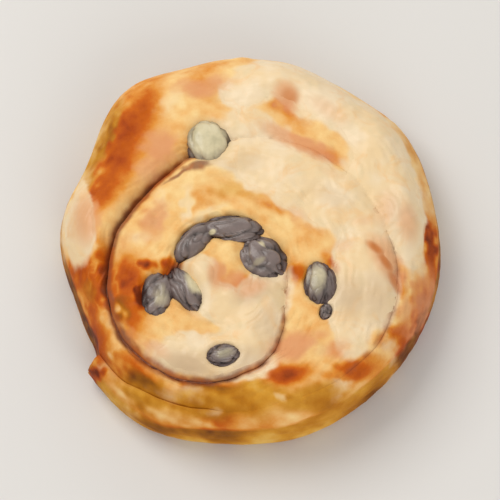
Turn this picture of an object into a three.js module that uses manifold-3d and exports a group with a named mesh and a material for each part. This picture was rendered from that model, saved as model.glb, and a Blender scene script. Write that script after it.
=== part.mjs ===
// A pain aux raisins: one strip of laminated dough rolled round a line of filling and baked lying
// flat, with raisins in its seam and sugar icing poured over the top.
// Millimetres, +Z up. The origin is on the ground under the middle of the bun's box. Seen from
// above, the seam runs counter-clockwise from the loose end of the strip to the heart.
import * as THREE from 'three';
import { mergeVertices } from 'three/addons/utils/BufferGeometryUtils.js';
import Module from 'manifold-3d';

const wasm = await Module();
wasm.setup();

// The bun's outline: its radius about the bun's middle, once every OUTLINE_STEP degrees,
// counter-clockwise from the loose end and all the way round to where that end lies on the wall
const OUTLINE_START = 217.5;
const OUTLINE_STEP = 22.5;
const OUTLINE_RADII = [
  50.5, 51.8, 49.6, 49.0, 47.6, 47.0, 47.4, 47.6, 49.8,
  49.5, 51.5, 51.7, 52.7, 47.0, 47.6, 45.0, 45.6,
];

// The seam between neighbouring turns: its radius about the heart, once every eighth of a turn
const HEART = new THREE.Vector2(-7.6, -13);
const TAIL_BEARING = 208.6;
const SEAM_RADII = [
  33.4, 32.4, 35.2, 42.8, 43.4, 40.2, 31.2, 28.0,
  27.6, 26.9, 23.6, 16.9, 17.2, 16.2, 12.9, 10.8, 14.6,
];
const SEAM_STEPS_PER_TURN = 8;

// How open the seam is at the same places: 1 where it shows as a line, 0 where the dough has
// grown together over it in the oven, and the share of the groove's depth that this takes away
const SEAM_OPENNESS = [
  0.5, 0.05, 0.0, 0.15, 0.1, 0.2, 1.0, 0.9,
  0.85, 0.75, 0.45, 0.3, 0.2, 0.2, 0.2, 0.8, 0.6,
];
const SEAM_HEALING = 0.75;

const SEAM_END = 1.95;
const SEAM_WIDTH = 1.6;

// Heights of the crests, from the thin loose end to the heart
const TAIL_CREST = 13;
const OUTER_CREST = 21;
const INNER_CREST = 22.6;
const HEART_CREST = 23.4;
const TAIL_RISE_TURNS = 0.3;
const INNER_RISE = [0.85, 1.15];
const HEART_RISE_START = 1.6;

// Soft unevenness of the top: waves with their height, how far one reaches along x and along y
// while its angle grows by one radian, and the angle it starts at
const LUMP_WAVES = [
  { height: 0.225, reach: [6.1, -5.3], start: 2.07 },
  { height: 0.225, reach: [6.1, 5.3], start: -0.47 },
  { height: 0.3, reach: [5.9, 3.47], start: 0 },
  { height: 0.25, reach: [2.94, -4.7], start: 2 },
];
const NUB = new THREE.Vector2(-13.0, -12.6);
const NUB_HEIGHT = 1.5;
const NUB_SPREAD = 3.4;

// How the top rounds down to the seam and over to the outer wall
const SEAM_FALL = 4;
const SEAM_FALL_RUN = 5.5;
const SHOULDER_FALL = 9;
const SHOULDER_RUN = 10;
const SEAM_FALL_PER_WIDTH = 0.6;
const SHOULDER_FALL_PER_WIDTH = 1.5;
const WALL_TOP_INSET = 0.9;
const WALL_BULGE_HEIGHT = 6;
const WALL_TOE_HEIGHT = 1.8;
const WALL_TOE_INSET = 0.7;
const FOOT_INSET = 2.2;

// Where the form changes along the strip, in turns: the outer edge leaves the outline for the seam,
// the free wall goes under, the shoulder fades, and the seam closes at its end
const OUTLINE_LEFT = [0.96, 1];
const WALL_BURIED = [0.985, 1];
const SHOULDER_FADE = [1, 1.3];
const SEAM_CLOSING = 0.06;
const STRIP_OVERRUN = 0.02;
const HEART_GAP = 0.012;

// The filling, a thin ribbon that stands in the seam
const FILLING_THICKNESS = 1.0;
const FILLING_FLOOR = 0.6;
const FILLING_SINK = 0.5;
const FILLING_START = 0.03;
const FILLING_END_GAP = 0.03;
const CLEARANCE = 0.3;

// Raisins: place of the middle, length, width, height, bearing of the length in degrees,
// and how far the top stands over the crest of the dough there
const RAISINS = {
  raisin_arc_left: { at: [-14.0, -3.1], size: [14, 8.2, 8], bearing: 49, proud: 0.9 },
  raisin_arc_middle: { at: [-4.2, 0.5], size: [16.5, 8.2, 8], bearing: -3, proud: 1.2 },
  raisin_arc_right: { at: [3.0, -6.8], size: [14.6, 12.2, 8], bearing: -42, proud: 1.4 },
  raisin_left: { at: [-22.9, -16.7], size: [13.6, 9.6, 7.5], bearing: 80, proud: 1.2 },
  raisin_heart: { at: [-15.6, -15.8], size: [13.5, 8.2, 7.5], bearing: 118, proud: 0.8 },
  raisin_right: { at: [17.2, -13.6], size: [12.2, 9, 6], bearing: 98, proud: 1.9 },
  raisin_bit: { at: [18.6, -21.4], size: [4.6, 3.6, 4], bearing: 70, proud: 1.1 },
  raisin_top: { at: [-10.2, 24.2], size: [14, 12.2, 8], bearing: 104, proud: 1.6 },
  raisin_bottom: { at: [-6.6, -33.2], size: [8.6, 6.2, 5], bearing: 10, proud: 1.5 },
};
const RAISIN_DETAIL = 2;
const RAISIN_BIT_DETAIL = 1;
const RAISIN_WRINKLE = 0.09;
const RAISIN_WRINKLE_COUNT = 5;
const RAISIN_BIT_LENGTH = 6;
const RAISIN_CLEARANCE = 0.39;

// Icing: each sheet is a few pools that flow together, and each pool is an ellipse with its middle,
// half length, half width and bearing
const ICING_SHEETS = {
  icing_turns: [
    { at: [13.0, 12.8], size: [22, 6.6], bearing: -32 },
    { at: [-0.8, 38.2], size: [5.4, 3.8], bearing: 12 },
    { at: [4.6, 42.4], size: [6.5, 3.2], bearing: -12 },
    { at: [2.0, 22.0], size: [10, 7], bearing: -60 },
    { at: [17.0, 37.5], size: [14.5, 5.6], bearing: -30 },
    { at: [30.0, 26.5], size: [11, 5], bearing: -52 },
    { at: [37.0, 9.0], size: [15, 4.6], bearing: 102 },
    { at: [30.5, 14.0], size: [8, 5.5], bearing: -60 },
    { at: [27.5, -4.0], size: [11, 5.5], bearing: 80 },
    { at: [24.5, -19.5], size: [11, 4.4], bearing: 92 },
    { at: [31.5, -15.5], size: [8.5, 4.4], bearing: 84 },
  ],
  icing_heart: [
    { at: [2.0, -20.5], size: [10, 5.5], bearing: 62 },
    { at: [-6.6, -19.8], size: [7.5, 4.2], bearing: -24 },
    { at: [-12.2, -12.4], size: [4.6, 3.6], bearing: 96 },
    { at: [-9.0, -33.0], size: [13, 4.6], bearing: -6 },
    { at: [0.5, -29.0], size: [6, 5], bearing: 60 },
  ],
  icing_edge: [
    { at: [-42.6, 6.0], size: [11, 3.1], bearing: 97 },
  ],
};
const ICING_THICKNESS = 1.1;
const ICING_OUTSIDE = -3;
const ICING_RIM_STEEPNESS = 1.8;
const ICING_SEAM_FILL = 0.45;
const ICING_BLEND = 5;
const ICING_SLAB_FLOOR = 9;
const PLUG_OVERLAP = 1;

// Fineness of the surfaces
const STATIONS_PER_TURN = 50;
const TOP_POINTS = 8;
const HEART_RINGS = 6;
const ICING_RINGS = 18;
const ICING_SECTORS = 50;
const ICING_REACH = 0.97;
const MERGE_TOLERANCE = 0.004;

const DEGREE = Math.PI / 180;
const SEAM_FACE = SEAM_WIDTH / 2;

// 0 below the first edge, 1 above the second, an even ramp with soft ends between them
function ramp(from, to, value) {
  return THREE.MathUtils.smoothstep(value, from, to);
}

// A smooth curve through evenly spaced values, held level past both ends
function through(values, position) {
  const last = values.length - 1;
  const clamped = Math.min(Math.max(position, 0), last);
  const i = Math.min(Math.floor(clamped), last - 1);
  const f = clamped - i;
  const [a, b, c, d] = [i - 1, i, i + 1, i + 2].map((k) => values[Math.min(Math.max(k, 0), last)]);
  const slopeIn = (c - a) / 2;
  const slopeOut = (d - b) / 2;
  const cubic = 2 * (b - c) + slopeIn + slopeOut;
  const square = 3 * (c - b) - 2 * slopeIn - slopeOut;
  return ((cubic * f + square) * f + slopeIn) * f + b;
}

function bearingOf(turn) {
  return (TAIL_BEARING + 360 * turn) * DEGREE;
}

function fromHeart(turn, radius) {
  const bearing = bearingOf(turn);
  return [HEART.x + radius * Math.cos(bearing), HEART.y + radius * Math.sin(bearing)];
}

function seamRadius(turn) {
  return through(SEAM_RADII, turn * SEAM_STEPS_PER_TURN);
}

// The share of its full depth that the seam's groove keeps at a turn
function keptDepth(turn) {
  const openness = through(SEAM_OPENNESS, turn * SEAM_STEPS_PER_TURN);
  return 1 - SEAM_HEALING * (1 - openness);
}

// Where a ray from the heart meets the outline: the outline is given about the bun's middle, so
// the ray's length is put right a few times until its tip is on it
function outlineRadius(turn) {
  let radius = OUTLINE_RADII[0];
  for (let pass = 0; pass < 8; pass += 1) {
    const [x, y] = fromHeart(turn, radius);
    let angle = (Math.atan2(y, x) / DEGREE - OUTLINE_START + 720) % 360;
    if (turn < 0.5 && angle > 300) angle -= 360;
    if (turn > 0.5 && angle < 60) angle += 360;
    radius += through(OUTLINE_RADII, angle / OUTLINE_STEP) - Math.hypot(x, y);
  }
  return radius;
}

// The strip's inner and outer edge at a turn. The last turn has no seam on its inside.
function stripEdges(turn) {
  const inner = seamRadius(Math.min(turn, SEAM_END)) + SEAM_FACE;
  const seamSide = seamRadius(Math.max(0, turn - 1)) - SEAM_FACE;
  const outer = turn < 1
    ? THREE.MathUtils.lerp(outlineRadius(turn), seamSide, ramp(...OUTLINE_LEFT, turn))
    : seamSide;
  return { inner, outer };
}

function crestHeight(turn) {
  const risen = THREE.MathUtils.lerp(TAIL_CREST, OUTER_CREST, ramp(0, TAIL_RISE_TURNS, turn));
  const second = (INNER_CREST - OUTER_CREST) * ramp(...INNER_RISE, turn);
  const heart = (HEART_CREST - INNER_CREST) * ramp(HEART_RISE_START, SEAM_END, turn);
  return risen + second + heart;
}

// Soft unevenness of a proved and baked dough, and the nub in which the strip's inner end stands up
function lump(x, y) {
  let height = NUB_HEIGHT * Math.exp(-((x - NUB.x) ** 2 + (y - NUB.y) ** 2) / (2 * NUB_SPREAD ** 2));
  for (const wave of LUMP_WAVES) {
    height += wave.height * Math.sin(x / wave.reach[0] + y / wave.reach[1] + wave.start);
  }
  return height;
}

// A fall that is deepest at an edge and runs out softly at its run's distance from it
function fallFrom(edge, depth, run) {
  return depth * Math.max(0, 1 - edge / run) ** 2;
}

// How far the top lies under its crest, from its distances to the strip's two edges: towards the
// seams, and towards the wall, which stands free all the way round the first turn and over the
// low loose end
function topFalls(turn, fromInner, fromOuter) {
  const width = fromInner + fromOuter;
  const open = 1 - ramp(SEAM_END - SEAM_CLOSING, SEAM_END, turn);
  const seamDepth = keptDepth(turn) * Math.min(SEAM_FALL, SEAM_FALL_PER_WIDTH * width);
  const shoulderDepth = Math.min(SHOULDER_FALL, SHOULDER_FALL_PER_WIDTH * width);
  const inner = fallFrom(fromInner, seamDepth, Math.min(SEAM_FALL_RUN, width));
  const outer = fallFrom(fromOuter, SEAM_FALL * keptDepth(turn - 1), SEAM_FALL_RUN);
  const shoulder = fallFrom(fromOuter, shoulderDepth, Math.min(SHOULDER_RUN, width));
  const free = 1 - ramp(...SHOULDER_FADE, turn);
  return { seam: open * inner + (1 - free) * outer, wall: free * shoulder };
}

function topHeight(turn, fromInner, fromOuter, x, y) {
  const falls = topFalls(turn, fromInner, fromOuter);
  return crestHeight(turn) - falls.seam - falls.wall + lump(x, y);
}

// One slice across the strip, counter-clockwise as seen against the way the strip runs: over the
// top from the inner edge to the outer one, down the wall and back under the base
function stripSlice(turn) {
  const { inner, outer } = stripEdges(turn);
  const exposed = 1 - ramp(...WALL_BURIED, turn);
  const topOuter = outer - WALL_TOP_INSET * exposed;
  const slice = [];
  for (let i = 0; i < TOP_POINTS; i += 1) {
    const share = (1 - Math.cos((Math.PI * i) / (TOP_POINTS - 1))) / 2;
    const radius = THREE.MathUtils.lerp(inner, topOuter, share);
    const [x, y] = fromHeart(turn, radius);
    slice.push([x, y, topHeight(turn, radius - inner, topOuter - radius, x, y)]);
  }
  const wall = [
    [outer, WALL_BULGE_HEIGHT],
    [outer - WALL_TOE_INSET * exposed, WALL_TOE_HEIGHT],
    [outer - FOOT_INSET * exposed, 0],
    [inner, 0],
  ];
  for (const [radius, z] of wall) slice.push([...fromHeart(turn, radius), z]);
  return slice;
}

// A closed skin over a row of slices with equal numbers of points, with a flat fan at each end
function skin(slices) {
  const size = slices[0].length;
  const points = slices.flat();
  const faces = [];
  for (let j = 0; j + 1 < slices.length; j += 1) {
    for (let i = 0; i < size; i += 1) {
      const a = j * size + i;
      const b = j * size + ((i + 1) % size);
      faces.push(a, b, a + size, b, b + size, a + size);
    }
  }
  for (const [start, flip] of [[0, true], [(slices.length - 1) * size, false]]) {
    const middle = [0, 1, 2].map((k) => slices[start / size].reduce((sum, p) => sum + p[k], 0) / size);
    points.push(middle);
    for (let i = 0; i < size; i += 1) {
      const pair = [start + i, start + ((i + 1) % size)];
      if (flip) pair.reverse();
      faces.push(points.length - 1, ...pair);
    }
  }
  return meshSolid(points, faces);
}

// A round solid over a middle point: rings of points over the top and down the wall, from the
// top of the middle outwards, closed by the foot of the middle
function roundSolid(rings, topMiddle, footMiddle) {
  const size = rings[0].length;
  const points = [...rings.flat(), topMiddle, footMiddle];
  const top = points.length - 2;
  const foot = points.length - 1;
  const lastRing = (rings.length - 1) * size;
  const faces = [];
  for (let i = 0; i < size; i += 1) {
    const next = (i + 1) % size;
    faces.push(top, i, next);
    faces.push(foot, lastRing + next, lastRing + i);
    for (let r = 0; r + 1 < rings.length; r += 1) {
      const a = r * size + i;
      const b = r * size + next;
      faces.push(a, a + size, b, b, a + size, b + size);
    }
  }
  return meshSolid(points, faces);
}

function geometrySolid(geometry) {
  const bare = geometry.clone();
  bare.deleteAttribute('normal');
  bare.deleteAttribute('uv');
  const merged = mergeVertices(bare, 1e-4);
  const mesh = new wasm.Mesh({
    numProp: 3,
    vertProperties: new Float32Array(merged.attributes.position.array),
    triVerts: new Uint32Array(merged.index.array),
  });
  return new wasm.Manifold(mesh);
}

function meshSolid(points, faces) {
  const geometry = new THREE.BufferGeometry();
  geometry.setAttribute('position', new THREE.Float32BufferAttribute(points.flat(), 3));
  geometry.setIndex(faces);
  const solid = geometrySolid(geometry);
  if (solid.volume() < 0) throw new Error('a skin is inside out');
  return solid;
}

function solidGeometry(solid) {
  const mesh = solid.getMesh();
  const geometry = new THREE.BufferGeometry();
  geometry.setAttribute('position', new THREE.Float32BufferAttribute(mesh.vertProperties, 3));
  geometry.setIndex(new THREE.Uint32BufferAttribute(mesh.triVerts, 1));
  geometry.computeVertexNormals();
  return geometry;
}

function largestPiece(solid) {
  const pieces = solid.decompose();
  pieces.sort((a, b) => b.volume() - a.volume());
  return pieces[0];
}

// The long strip from its loose end to just past the end of the seam
function stripSolid() {
  const slices = [];
  const lastTurn = SEAM_END + STRIP_OVERRUN;
  const count = Math.round(lastTurn * STATIONS_PER_TURN);
  for (let j = 0; j <= count; j += 1) slices.push(stripSlice((lastTurn * j) / count));
  return skin(slices);
}

// The heart, which fills the last turn of the seam and joins the strip's end
function heartEdge(turn) {
  return seamRadius(turn - 1) - SEAM_FACE;
}

// How far the heart's top lies under its crest; the seam runs out at its end
function heartFall(turn, fromEdge) {
  const open = 1 - ramp(SEAM_END + 1 - SEAM_CLOSING, SEAM_END + 1, turn);
  return open * fallFrom(fromEdge, SEAM_FALL * keptDepth(turn - 1), SEAM_FALL_RUN);
}

function heartHeight(turn, radius, x, y) {
  return HEART_CREST - heartFall(turn, heartEdge(turn) - radius) + lump(x, y);
}

function heartSolid() {
  const rings = Array.from({ length: HEART_RINGS + 1 }, () => []);
  const lastTurn = SEAM_END + 1 - HEART_GAP;
  for (let j = 0; j < STATIONS_PER_TURN; j += 1) {
    const turn = THREE.MathUtils.lerp(SEAM_END, lastTurn, j / (STATIONS_PER_TURN - 1));
    const edge = heartEdge(turn);
    for (let r = 0; r < HEART_RINGS; r += 1) {
      const radius = edge * Math.sin((Math.PI / 2) * ((r + 1) / HEART_RINGS));
      const [x, y] = fromHeart(turn, radius);
      rings[r].push([x, y, heartHeight(turn, radius, x, y)]);
    }
    rings[HEART_RINGS].push([...fromHeart(turn, edge), 0]);
  }
  const top = HEART_CREST + lump(HEART.x, HEART.y);
  return roundSolid(rings, [HEART.x, HEART.y, top], [HEART.x, HEART.y, 0]);
}

// Which turn a place lies on, and its distances to the edges of that turn
function locate(x, y) {
  const dx = x - HEART.x;
  const dy = y - HEART.y;
  const radius = Math.hypot(dx, dy);
  let turn = ((Math.atan2(dy, dx) / DEGREE - TAIL_BEARING + 720) % 360) / 360;
  while (turn < SEAM_END && radius < seamRadius(turn)) turn += 1;
  const edges = stripEdges(turn);
  const fromInner = Math.max(0, radius - edges.inner);
  const fromOuter = Math.max(0, edges.outer - radius);
  return { turn, fromInner, fromOuter };
}

// A ribbon that stands in the seam between two heights
function seamRibbon(thickness, firstTurn, lastTurn, floor, topOf) {
  const count = Math.round((lastTurn - firstTurn) * STATIONS_PER_TURN);
  const slices = [];
  for (let j = 0; j <= count; j += 1) {
    const turn = THREE.MathUtils.lerp(firstTurn, lastTurn, j / count);
    const inner = fromHeart(turn, seamRadius(turn) - thickness / 2);
    const outer = fromHeart(turn, seamRadius(turn) + thickness / 2);
    const top = topOf(turn);
    slices.push([[...inner, top], [...outer, top], [...outer, floor], [...inner, floor]]);
  }
  return skin(slices);
}

// The lower of the two dough edges that face each other over the seam
function seamTop(turn) {
  const outside = stripEdges(turn);
  const width = outside.outer - outside.inner;
  const [x, y] = fromHeart(turn, seamRadius(turn));
  const outsideTop = topHeight(turn, 0, width, x, y);
  const within = turn + 1;
  if (within >= SEAM_END) return Math.min(outsideTop, heartHeight(within, heartEdge(within), x, y));
  const inside = stripEdges(within);
  return Math.min(outsideTop, topHeight(within, inside.outer - inside.inner, 0, x, y));
}

// A raisin: a ball with folds along its length, stretched to its size and turned to its bearing
function raisinSolid(raisin, index, grow) {
  const detail = raisin.size[0] < RAISIN_BIT_LENGTH ? RAISIN_BIT_DETAIL : RAISIN_DETAIL;
  const geometry = new THREE.IcosahedronGeometry(1, detail);
  const position = geometry.attributes.position;
  const point = new THREE.Vector3();
  for (let i = 0; i < position.count; i += 1) {
    point.fromBufferAttribute(position, i);
    const round = Math.atan2(point.z, point.y);
    const fold = Math.sin(RAISIN_WRINKLE_COUNT * round + 1.3 * index + 1.2 * Math.sin(2.6 * point.x + index));
    point.multiplyScalar(1 + RAISIN_WRINKLE * fold * (1 - point.x ** 4));
    position.setXYZ(i, point.x, point.y, point.z);
  }
  const [length, width, height] = raisin.size;
  geometry.scale(length / 2 + grow, width / 2 + grow, height / 2 + grow);
  geometry.rotateZ(raisin.bearing * DEGREE);
  const [x, y] = raisin.at;
  const top = crestHeight(locate(x, y).turn) + lump(x, y) + raisin.proud;
  geometry.translate(x, y, top - height / 2);
  return geometrySolid(geometry);
}

// How thick a sheet of icing is: full inside its pools, nothing at their rim and below zero
// outside. Pools that touch flow into each other.
function icingThickness(pools, x, y) {
  let sum = 0;
  for (const pool of pools) {
    const bearing = pool.bearing * DEGREE;
    const dx = x - pool.at[0];
    const dy = y - pool.at[1];
    const along = (dx * Math.cos(bearing) + dy * Math.sin(bearing)) / pool.size[0];
    const across = (dy * Math.cos(bearing) - dx * Math.sin(bearing)) / pool.size[1];
    sum += Math.exp(ICING_BLEND * (1 - along ** 2 - across ** 2));
  }
  const level = Math.log(sum) / ICING_BLEND;
  return Math.max(ICING_OUTSIDE, ICING_THICKNESS * Math.min(level * ICING_RIM_STEEPNESS, 1));
}

// Icing follows the dough, but lies deeper where it has run into a seam
function icingTop(pools, x, y) {
  const place = locate(x, y);
  const falls = place.turn < SEAM_END
    ? topFalls(place.turn, place.fromInner, place.fromOuter)
    : { seam: heartFall(place.turn, place.fromOuter), wall: 0 };
  const thickness = icingThickness(pools, x, y);
  const fill = ICING_SEAM_FILL * falls.seam * Math.max(0, thickness / ICING_THICKNESS);
  return crestHeight(place.turn) - falls.seam - falls.wall + lump(x, y) + CLEARANCE + thickness + fill;
}

// A round block whose top is the icing's top; what lies in the dough is cut away afterwards
function icingBlock(pools) {
  const rings = Array.from({ length: ICING_RINGS + 1 }, () => []);
  for (let j = 0; j < ICING_SECTORS; j += 1) {
    const turn = j / ICING_SECTORS;
    const reach = outlineRadius(turn) * ICING_REACH;
    for (let r = 0; r < ICING_RINGS; r += 1) {
      const [x, y] = fromHeart(turn, (reach * (r + 1)) / ICING_RINGS);
      rings[r].push([x, y, icingTop(pools, x, y)]);
    }
    rings[ICING_RINGS].push([...fromHeart(turn, reach), ICING_SLAB_FLOOR]);
  }
  const top = icingTop(pools, HEART.x, HEART.y);
  return roundSolid(rings, [HEART.x, HEART.y, top], [HEART.x, HEART.y, ICING_SLAB_FLOOR]);
}

const raisinEntries = Object.entries(RAISINS);
const raisinSolids = raisinEntries.map(([, raisin], i) => raisinSolid(raisin, i, 0));
const raisinSockets = raisinEntries.map(([, raisin], i) => raisinSolid(raisin, i, RAISIN_CLEARANCE));
const sockets = raisinSockets.reduce((all, socket) => all.add(socket));

const wholeDough = stripSolid().add(heartSolid());
const dough = largestPiece(wholeDough.subtract(sockets));

const fillingEnd = SEAM_END - FILLING_END_GAP;
const fillingTop = (turn) => seamTop(turn) - FILLING_SINK;
const wholeFilling = seamRibbon(FILLING_THICKNESS, FILLING_START, fillingEnd, FILLING_FLOOR, fillingTop);
const filling = largestPiece(wholeFilling.subtract(sockets));

const plugTop = (turn) => seamTop(turn) + CLEARANCE;
const seamPlug = seamRibbon(SEAM_WIDTH + PLUG_OVERLAP, 0, SEAM_END, -1, plugTop);
const icingCut = wholeDough.add(wholeDough.translate([0, 0, CLEARANCE])).add(seamPlug).add(sockets);
const icingEntries = Object.entries(ICING_SHEETS);
const icings = icingEntries.map(([, pools]) => largestPiece(icingBlock(pools).subtract(icingCut)));

const materials = {
  crust: new THREE.MeshStandardMaterial({ color: '#cf9a52', roughness: 0.62, metalness: 0 }),
  filling: new THREE.MeshStandardMaterial({ color: '#8a4a24', roughness: 0.5, metalness: 0 }),
  raisin: new THREE.MeshStandardMaterial({ color: '#4a3630', roughness: 0.45, metalness: 0 }),
  icing: new THREE.MeshStandardMaterial({ color: '#ecd7b0', roughness: 0.3, metalness: 0 }),
};

const bun = new THREE.Group();

function addNode(name, solid, material) {
  const tidy = largestPiece(solid.simplify(MERGE_TOLERANCE));
  const mesh = new THREE.Mesh(solidGeometry(tidy), material);
  mesh.name = name;
  bun.add(mesh);
}

addNode('dough', dough, materials.crust);
addNode('filling', filling, materials.filling);
raisinEntries.forEach(([name], i) => {
  const others = raisinSockets.filter((_, k) => k > i);
  const clear = others.reduce((solid, socket) => solid.subtract(socket), raisinSolids[i]);
  addNode(name, clear, materials.raisin);
});
icingEntries.forEach(([name], i) => addNode(name, icings[i], materials.icing));

// Stand the bun on the ground with the middle of its box over the origin
const box = new THREE.Box3().setFromObject(bun);
const middle = box.getCenter(new THREE.Vector3());
bun.position.set(-middle.x, -middle.y, -box.min.z);

export default bun;
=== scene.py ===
# %% [markdown]
# # A pain aux raisins
#
# This notebook dresses one iced spiral bun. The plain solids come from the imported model, which
# is the frame; every piece made here lies exactly where its solid lies. The bun is a strip of
# laminated dough rolled round a line of filling, baked lying flat, with raisins in its seam and
# sugar icing poured over the top.

# %% Load the frame
import math

import bpy
import numpy as np
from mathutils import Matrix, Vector


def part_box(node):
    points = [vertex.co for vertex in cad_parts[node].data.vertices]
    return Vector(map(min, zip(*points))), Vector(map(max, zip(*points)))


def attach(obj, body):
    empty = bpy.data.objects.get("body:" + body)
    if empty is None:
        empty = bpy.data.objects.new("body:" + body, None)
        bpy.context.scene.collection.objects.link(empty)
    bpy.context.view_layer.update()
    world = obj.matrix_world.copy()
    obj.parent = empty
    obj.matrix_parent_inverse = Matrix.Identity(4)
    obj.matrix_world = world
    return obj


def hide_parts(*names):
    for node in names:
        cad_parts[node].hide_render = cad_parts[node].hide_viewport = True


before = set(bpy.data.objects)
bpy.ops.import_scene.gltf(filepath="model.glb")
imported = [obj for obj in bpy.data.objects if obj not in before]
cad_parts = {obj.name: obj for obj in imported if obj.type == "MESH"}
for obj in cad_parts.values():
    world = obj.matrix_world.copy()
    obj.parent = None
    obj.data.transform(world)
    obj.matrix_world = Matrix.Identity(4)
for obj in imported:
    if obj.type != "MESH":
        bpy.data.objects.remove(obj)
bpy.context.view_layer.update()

# %% [markdown]
# ## The bun's plan
#
# Everything below works in millimetres and turns into metres only when a mesh is made. The
# numbers are the ones the solids were made from: the outline's radius about the bun's middle,
# once every 22.5 degrees from the loose end of the strip, and the seam's radius about the heart,
# once every eighth of a turn. A place on the strip is a *turn*, 0 at the loose end and growing
# by 1 each time round, and a distance across the strip.

# %% The outline and the seam in the plan
MM = 0.001
OUTLINE_START = 217.5
OUTLINE_STEP = 22.5
OUTLINE_RADII = np.array([
    50.5, 51.8, 49.6, 49.0, 47.6, 47.0, 47.4, 47.6, 49.8,
    49.5, 51.5, 51.7, 52.7, 47.0, 47.6, 45.0, 45.6,
])

HEART = (-7.6, -13.0)
TAIL_BEARING = 208.6
SEAM_RADII = np.array([
    33.4, 32.4, 35.2, 42.8, 43.4, 40.2, 31.2, 28.0,
    27.6, 26.9, 23.6, 16.9, 17.2, 16.2, 12.9, 10.8, 14.6,
])
SEAM_STEPS_PER_TURN = 8
SEAM_END = 1.95
SEAM_FACE = 0.8
OUTLINE_END, WALL_END = 0.96, 0.985
SEAM_OPENNESS = np.array([
    0.5, 0.05, 0.0, 0.15, 0.1, 0.2, 1.0, 0.9,
    0.85, 0.75, 0.45, 0.3, 0.2, 0.2, 0.2, 0.8, 0.6,
])
SEAM_HEALING = 0.75
SEAM_LEAD = 5.0
print("outline given at", len(OUTLINE_RADII), "places, seam at", len(SEAM_RADII))

# %% Heights, and how the top falls
TAIL_CREST, OUTER_CREST, INNER_CREST, HEART_CREST = 13.0, 21.0, 22.6, 23.4
TAIL_RISE, SECOND_RISE, HEART_RISE = (0, 0.3), (0.85, 1.15), (1.6, SEAM_END)
LUMP_WAVES = [
    (0.225, (6.1, -5.3), 2.07), (0.225, (6.1, 5.3), -0.47),
    (0.3, (5.9, 3.47), 0), (0.25, (2.94, -4.7), 2),
]
NUB, NUB_HEIGHT, NUB_SPREAD = (-13.0, -12.6), 1.5, 3.4

SEAM_FALL, SEAM_FALL_RUN, SEAM_FALL_PER_WIDTH = 3.2, 5.0, 0.6
GROOVE_CLOSING = 0.06
SHOULDER_FALL, SHOULDER_RUN, SHOULDER_FALL_PER_WIDTH = 9.0, 10.0, 1.5
SHOULDER_END = 1.3
WALL_TOP_INSET, WALL_BULGE_HEIGHT, FOOT_INSET = 0.9, 6.0, 2.2
print("crest from", TAIL_CREST, "to", HEART_CREST, "millimetres high")


# %% Curves through evenly spaced values
def ramp(low, high, value):
    """0 below low, 1 above high, and between them 3f² - 2f³ of the way f."""
    f = np.clip((value - low) / (high - low), 0, 1)
    return f * f * (3 - 2 * f)


def through(values, position):
    """A cubic between neighbouring values whose slope at each value is half the difference of
    the values on its two sides; held level past both ends."""
    last = len(values) - 1
    position = np.clip(position, 0, last)
    i = np.minimum(position.astype(int), last - 1)
    f = position - i
    a, b, c, d = (values[np.clip(i + k, 0, last)] for k in (-1, 0, 1, 2))
    slope_in, slope_out = (c - a) / 2, (d - b) / 2
    cubic = 2 * (b - c) + slope_in + slope_out
    square = 3 * (c - b) - 2 * slope_in - slope_out
    return ((cubic * f + square) * f + slope_in) * f + b


print("a ramp at each quarter of its way:", ramp(0, 4, np.arange(5)).round(2))


# %% The seam and the outline as curves
def along_seam(values, turn):
    """One of the lists that give a value every eighth of a turn, read at any turn."""
    return through(values, turn * SEAM_STEPS_PER_TURN)


def seam_radius(turn):
    """The seam's distance from the heart, with small waves along it that come and go, because
    no strip is rolled quite evenly."""
    wander = 0.2 * np.sin(61 * turn) * np.sin(17 * turn) + 0.08 * np.sin(143 * turn + 1)
    return along_seam(SEAM_RADII, turn) + wander


def seam_openness(turn):
    """1 where the seam shows as a dark line, 0 where the dough and the icing have closed it."""
    return along_seam(SEAM_OPENNESS, turn)


def from_heart(turn, radius):
    """The plan place at a radius from the heart on the bearing of a turn."""
    bearing = np.radians(TAIL_BEARING + 360 * turn)
    return HEART[0] + radius * np.cos(bearing), HEART[1] + radius * np.sin(bearing)


def about_heart(x, y):
    """A plan place's distance from the heart, and its bearing there as a share of a round that
    starts at the loose end."""
    dx, dy = x - HEART[0], y - HEART[1]
    return np.hypot(dx, dy), np.mod(np.degrees(np.arctan2(dy, dx)) - TAIL_BEARING, 360) / 360


def outline_radius(turn):
    """Where a ray from the heart meets the outline. The outline is given about the bun's middle,
    so the ray's length is put right eight times until its tip is on it."""
    radius = np.full(np.shape(turn), OUTLINE_RADII[0])
    for _ in range(8):
        x, y = from_heart(turn, radius)
        angle = np.mod(np.degrees(np.arctan2(y, x)) - OUTLINE_START, 360)
        angle = np.where((turn < 0.5) & (angle > 300), angle - 360, angle)
        angle = np.where((turn > 0.5) & (angle < 60), angle + 360, angle)
        radius = radius + through(OUTLINE_RADII, angle / OUTLINE_STEP) - np.hypot(x, y)
    return radius


half_turns = np.arange(0, SEAM_END, 0.5)
print("seam radius at each half turn:", np.round(seam_radius(half_turns), 1))


# %% [markdown]
# The solids were moved so that the middle of their box stands over the origin. The same move
# is found here by measuring the outline's own box against the box of the dough node.

# %% Where the plan lies in the frame
rim_turns = np.arange(0, 1, 1 / 400)
rim_x, rim_y = from_heart(rim_turns, outline_radius(rim_turns))
dough_low, dough_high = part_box("dough")
SHIFT = (
    (dough_low[0] + dough_high[0]) / 2 / MM - (rim_x.min() + rim_x.max()) / 2,
    (dough_low[1] + dough_high[1]) / 2 / MM - (rim_y.min() + rim_y.max()) / 2,
)
print("shift of the plan in millimetres:", np.round(SHIFT, 2))


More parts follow.
